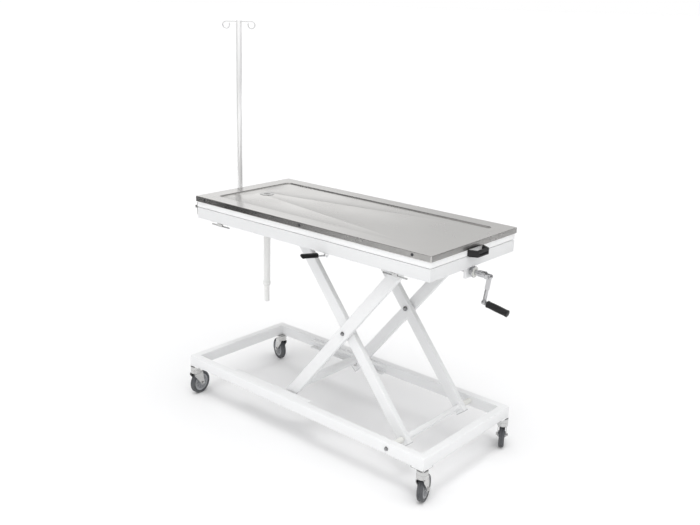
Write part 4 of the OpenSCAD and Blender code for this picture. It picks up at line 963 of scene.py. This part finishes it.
rod = turned(spindle_profile(), (spindle_low.x, spindle_axis.y, spindle_axis.z), (1, 0, 0), 48)
finish_piece("spindle_rod", rod, "spindle", BRIGHT_STEEL, ("lift_spindle",))
washer_ring = [(0.0104, 0.0), (0.0202, 0.0), (0.0206, 0.0004), (0.0206, 0.0008), (0.0202, 0.0012),
               (0.0104, 0.0012), (0.0104, 0.0)]
disc_face = spindle_axis + Vector((0.006, 0, 0))
washer = turned(washer_ring, disc_face, (1, 0, 0), 48)
finish_piece("thrust_washer", washer, "spindle", NYLON)
soft_copy("carriage_block", "nut_carriage", "carriage", DARK_BOLT, 0.0015)
soft_copy("clevis_sleeve", "crank_clevis", "spindle", BRIGHT_STEEL, 0.0008)
soft_copy("folding_arm", "crank_arm", "crank", BRIGHT_STEEL, 0.0009)


def fluted_grip():
    grip_axis = Vector(joint["grip_turn"]["axis"]).normalized()
    grip_gap = 0.014
    start = Vector(joint["grip_turn"]["pos_m"]) + grip_axis * grip_gap
    long = 0.093
    full = 0.014
    flutes = 12
    flute_steps = 8
    flute_deep = 0.0011
    flute_start = 0.0085
    flute_end = 0.0845
    profile = [(0.0047, 0.0), (0.0125, 0.0), (full, 0.0015), (full, 0.006), (full - 0.0006, 0.0078),
               (full - 0.001, flute_start), (full - 0.001, 0.012), (full - 0.0005, 0.03),
               (full - 0.0003, 0.0465), (full - 0.0005, 0.063), (full - 0.001, 0.081),
               (full - 0.001, flute_end), (full - 0.0006, 0.0852), (full, 0.087), (full, 0.0915),
               (full - 0.0025, long), (0.0, long)]
    shape = bmesh.new()
    spokes = round_about(grip_axis, flutes * flute_steps)
    dips = [flute_deep * max(0.0, math.cos(2 * math.pi * k / flute_steps)) ** 0.7
            for k in range(len(spokes))]
    rings = []
    for r, h in profile:
        fluted = flute_start < h < flute_end
        rings.append([shape.verts.new(start + grip_axis * h + out * max(r - dip * fluted, 1e-5))
                      for out, dip in zip(spokes, dips)])
    join_rings(shape, rings)
    bmesh.ops.remove_doubles(shape, verts=shape.verts, dist=2.5e-5)
    bmesh.ops.recalc_face_normals(shape, faces=shape.faces)
    return shape


finish_piece("crank_handgrip", fluted_grip(), "grip", BLACK_PLASTIC, ("crank_grip",))


# IV pole. A polished stainless tube in a plated socket with a black plastic
# liner on the left end, clamped by a black lobed knob, with two wire hooks for
# bags on its top.
# The pole's near-white colour, only partly metallic, stands in for the bright reflections of the polished
# tube: painted reflection.
POLISHED_PAINTED_REFLECTION = brushed_material("polished_stainless_painted_reflection", (0.97, 0.97, 0.97), (0.93, 0.93, 0.93), 260.0, 260.0,
                            0.000005, (0.14, 0.22), metallic=0.38)
pole_low, pole_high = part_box("iv_pole")
pole_middle = (pole_low + pole_high) / 2


def pole_profile():
    full = 0.0125
    length = pole_high.z - pole_low.z
    return [(full - 0.0015, 0.03), (full - 0.0015, 0.0), (full - 0.0004, 0.0), (full, 0.0006),
            (full, length - 0.002), (full - 0.0006, length - 0.0009), (full - 0.0016, length - 0.0002),
            (full - 0.004, length), (0.0, length)]


pole = turned(pole_profile(), (pole_middle.x, pole_middle.y, pole_low.z), (0, 0, 1), 48)
finish_piece("pole_tube", pole, "pole", POLISHED_PAINTED_REFLECTION, ("iv_pole",))
hook_heading = math.radians(45)
wire_radius = 0.0025
ring_radius = 0.0155
ring_reach = 0.057
hook_z = pole_high.z - 0.0055


def wire(shape, path, radius, sides=14):
    tangents = [(b - a).normalized() for a, b in zip(path, path[1:])]
    tangents.append(tangents[-1])
    normal = tangents[0].orthogonal().normalized()
    rings = []
    for point, tangent in zip(path, tangents):
        normal = (normal - tangent * normal.dot(tangent)).normalized()
        other = tangent.cross(normal)
        rings.append([shape.verts.new(point + normal * radius * math.cos(2 * math.pi * k / sides)
                                      + other * radius * math.sin(2 * math.pi * k / sides))
                      for k in range(sides)])
    join_rings(shape, rings)
    shape.faces.new(rings[0])
    shape.faces.new(rings[-1])


def hook_ring(top, out):
    steps = 36
    open_ring = 300
    ring = []
    for k in range(steps + 1):
        angle = math.radians(90 - open_ring * k / steps)
        ring.append(top + out * (ring_reach + ring_radius * math.cos(angle))
                    + Vector((0, 0, ring_radius * (math.sin(angle) - 1))))
    return ring


def wire_hooks():
    shape = bmesh.new()
    out = Vector((math.cos(hook_heading), math.sin(hook_heading), 0))
    top = Vector((pole_middle.x, pole_middle.y, hook_z))
    bar = [top + out * ring_reach * (k / 6 - 1) for k in range(1, 12)]
    wire(shape, hook_ring(top, -out)[::-1] + bar + hook_ring(top, out), wire_radius)
    bmesh.ops.recalc_face_normals(shape, faces=shape.faces)
    return shape


WIRE_STEEL = brushed_material("wire_stainless", (0.86, 0.86, 0.86), (0.8, 0.8, 0.8), 260.0, 260.0,
                              0.000005, (0.2, 0.3), metallic=0.75)
finish_piece("wire_hook_pair", wire_hooks(), "pole", WIRE_STEEL, ("iv_hooks",))
soft_copy("socket_tube", "pole_socket", "lift_frame", ZINC, 0.0008)
soft_copy("socket_liner", "pole_bush", "bush", BLACK_PLASTIC, 0.0006)
soft_copy("lobed_knob", "clamp_knob", "knob", BLACK_PLASTIC, 0.0012)


# Gas strut. A black painted cylinder with a bright rod between the lift frame
# and the tilt frame, which takes the weight of the top as it is tilted.
STRUT_PAINT = grained_material("strut_paint", (0.012, 0.012, 0.013), (0.022, 0.022, 0.024), 60.0,
                               0.00004, (0.14, 0.24), Coat_Weight=0.4)
soft_copy("strut_barrel", "strut_cylinder", "strut_tube", STRUT_PAINT, 0.001)
soft_copy("strut_piston_rod", "strut_rod", "strut_shaft", BRIGHT_STEEL, 0.0006)
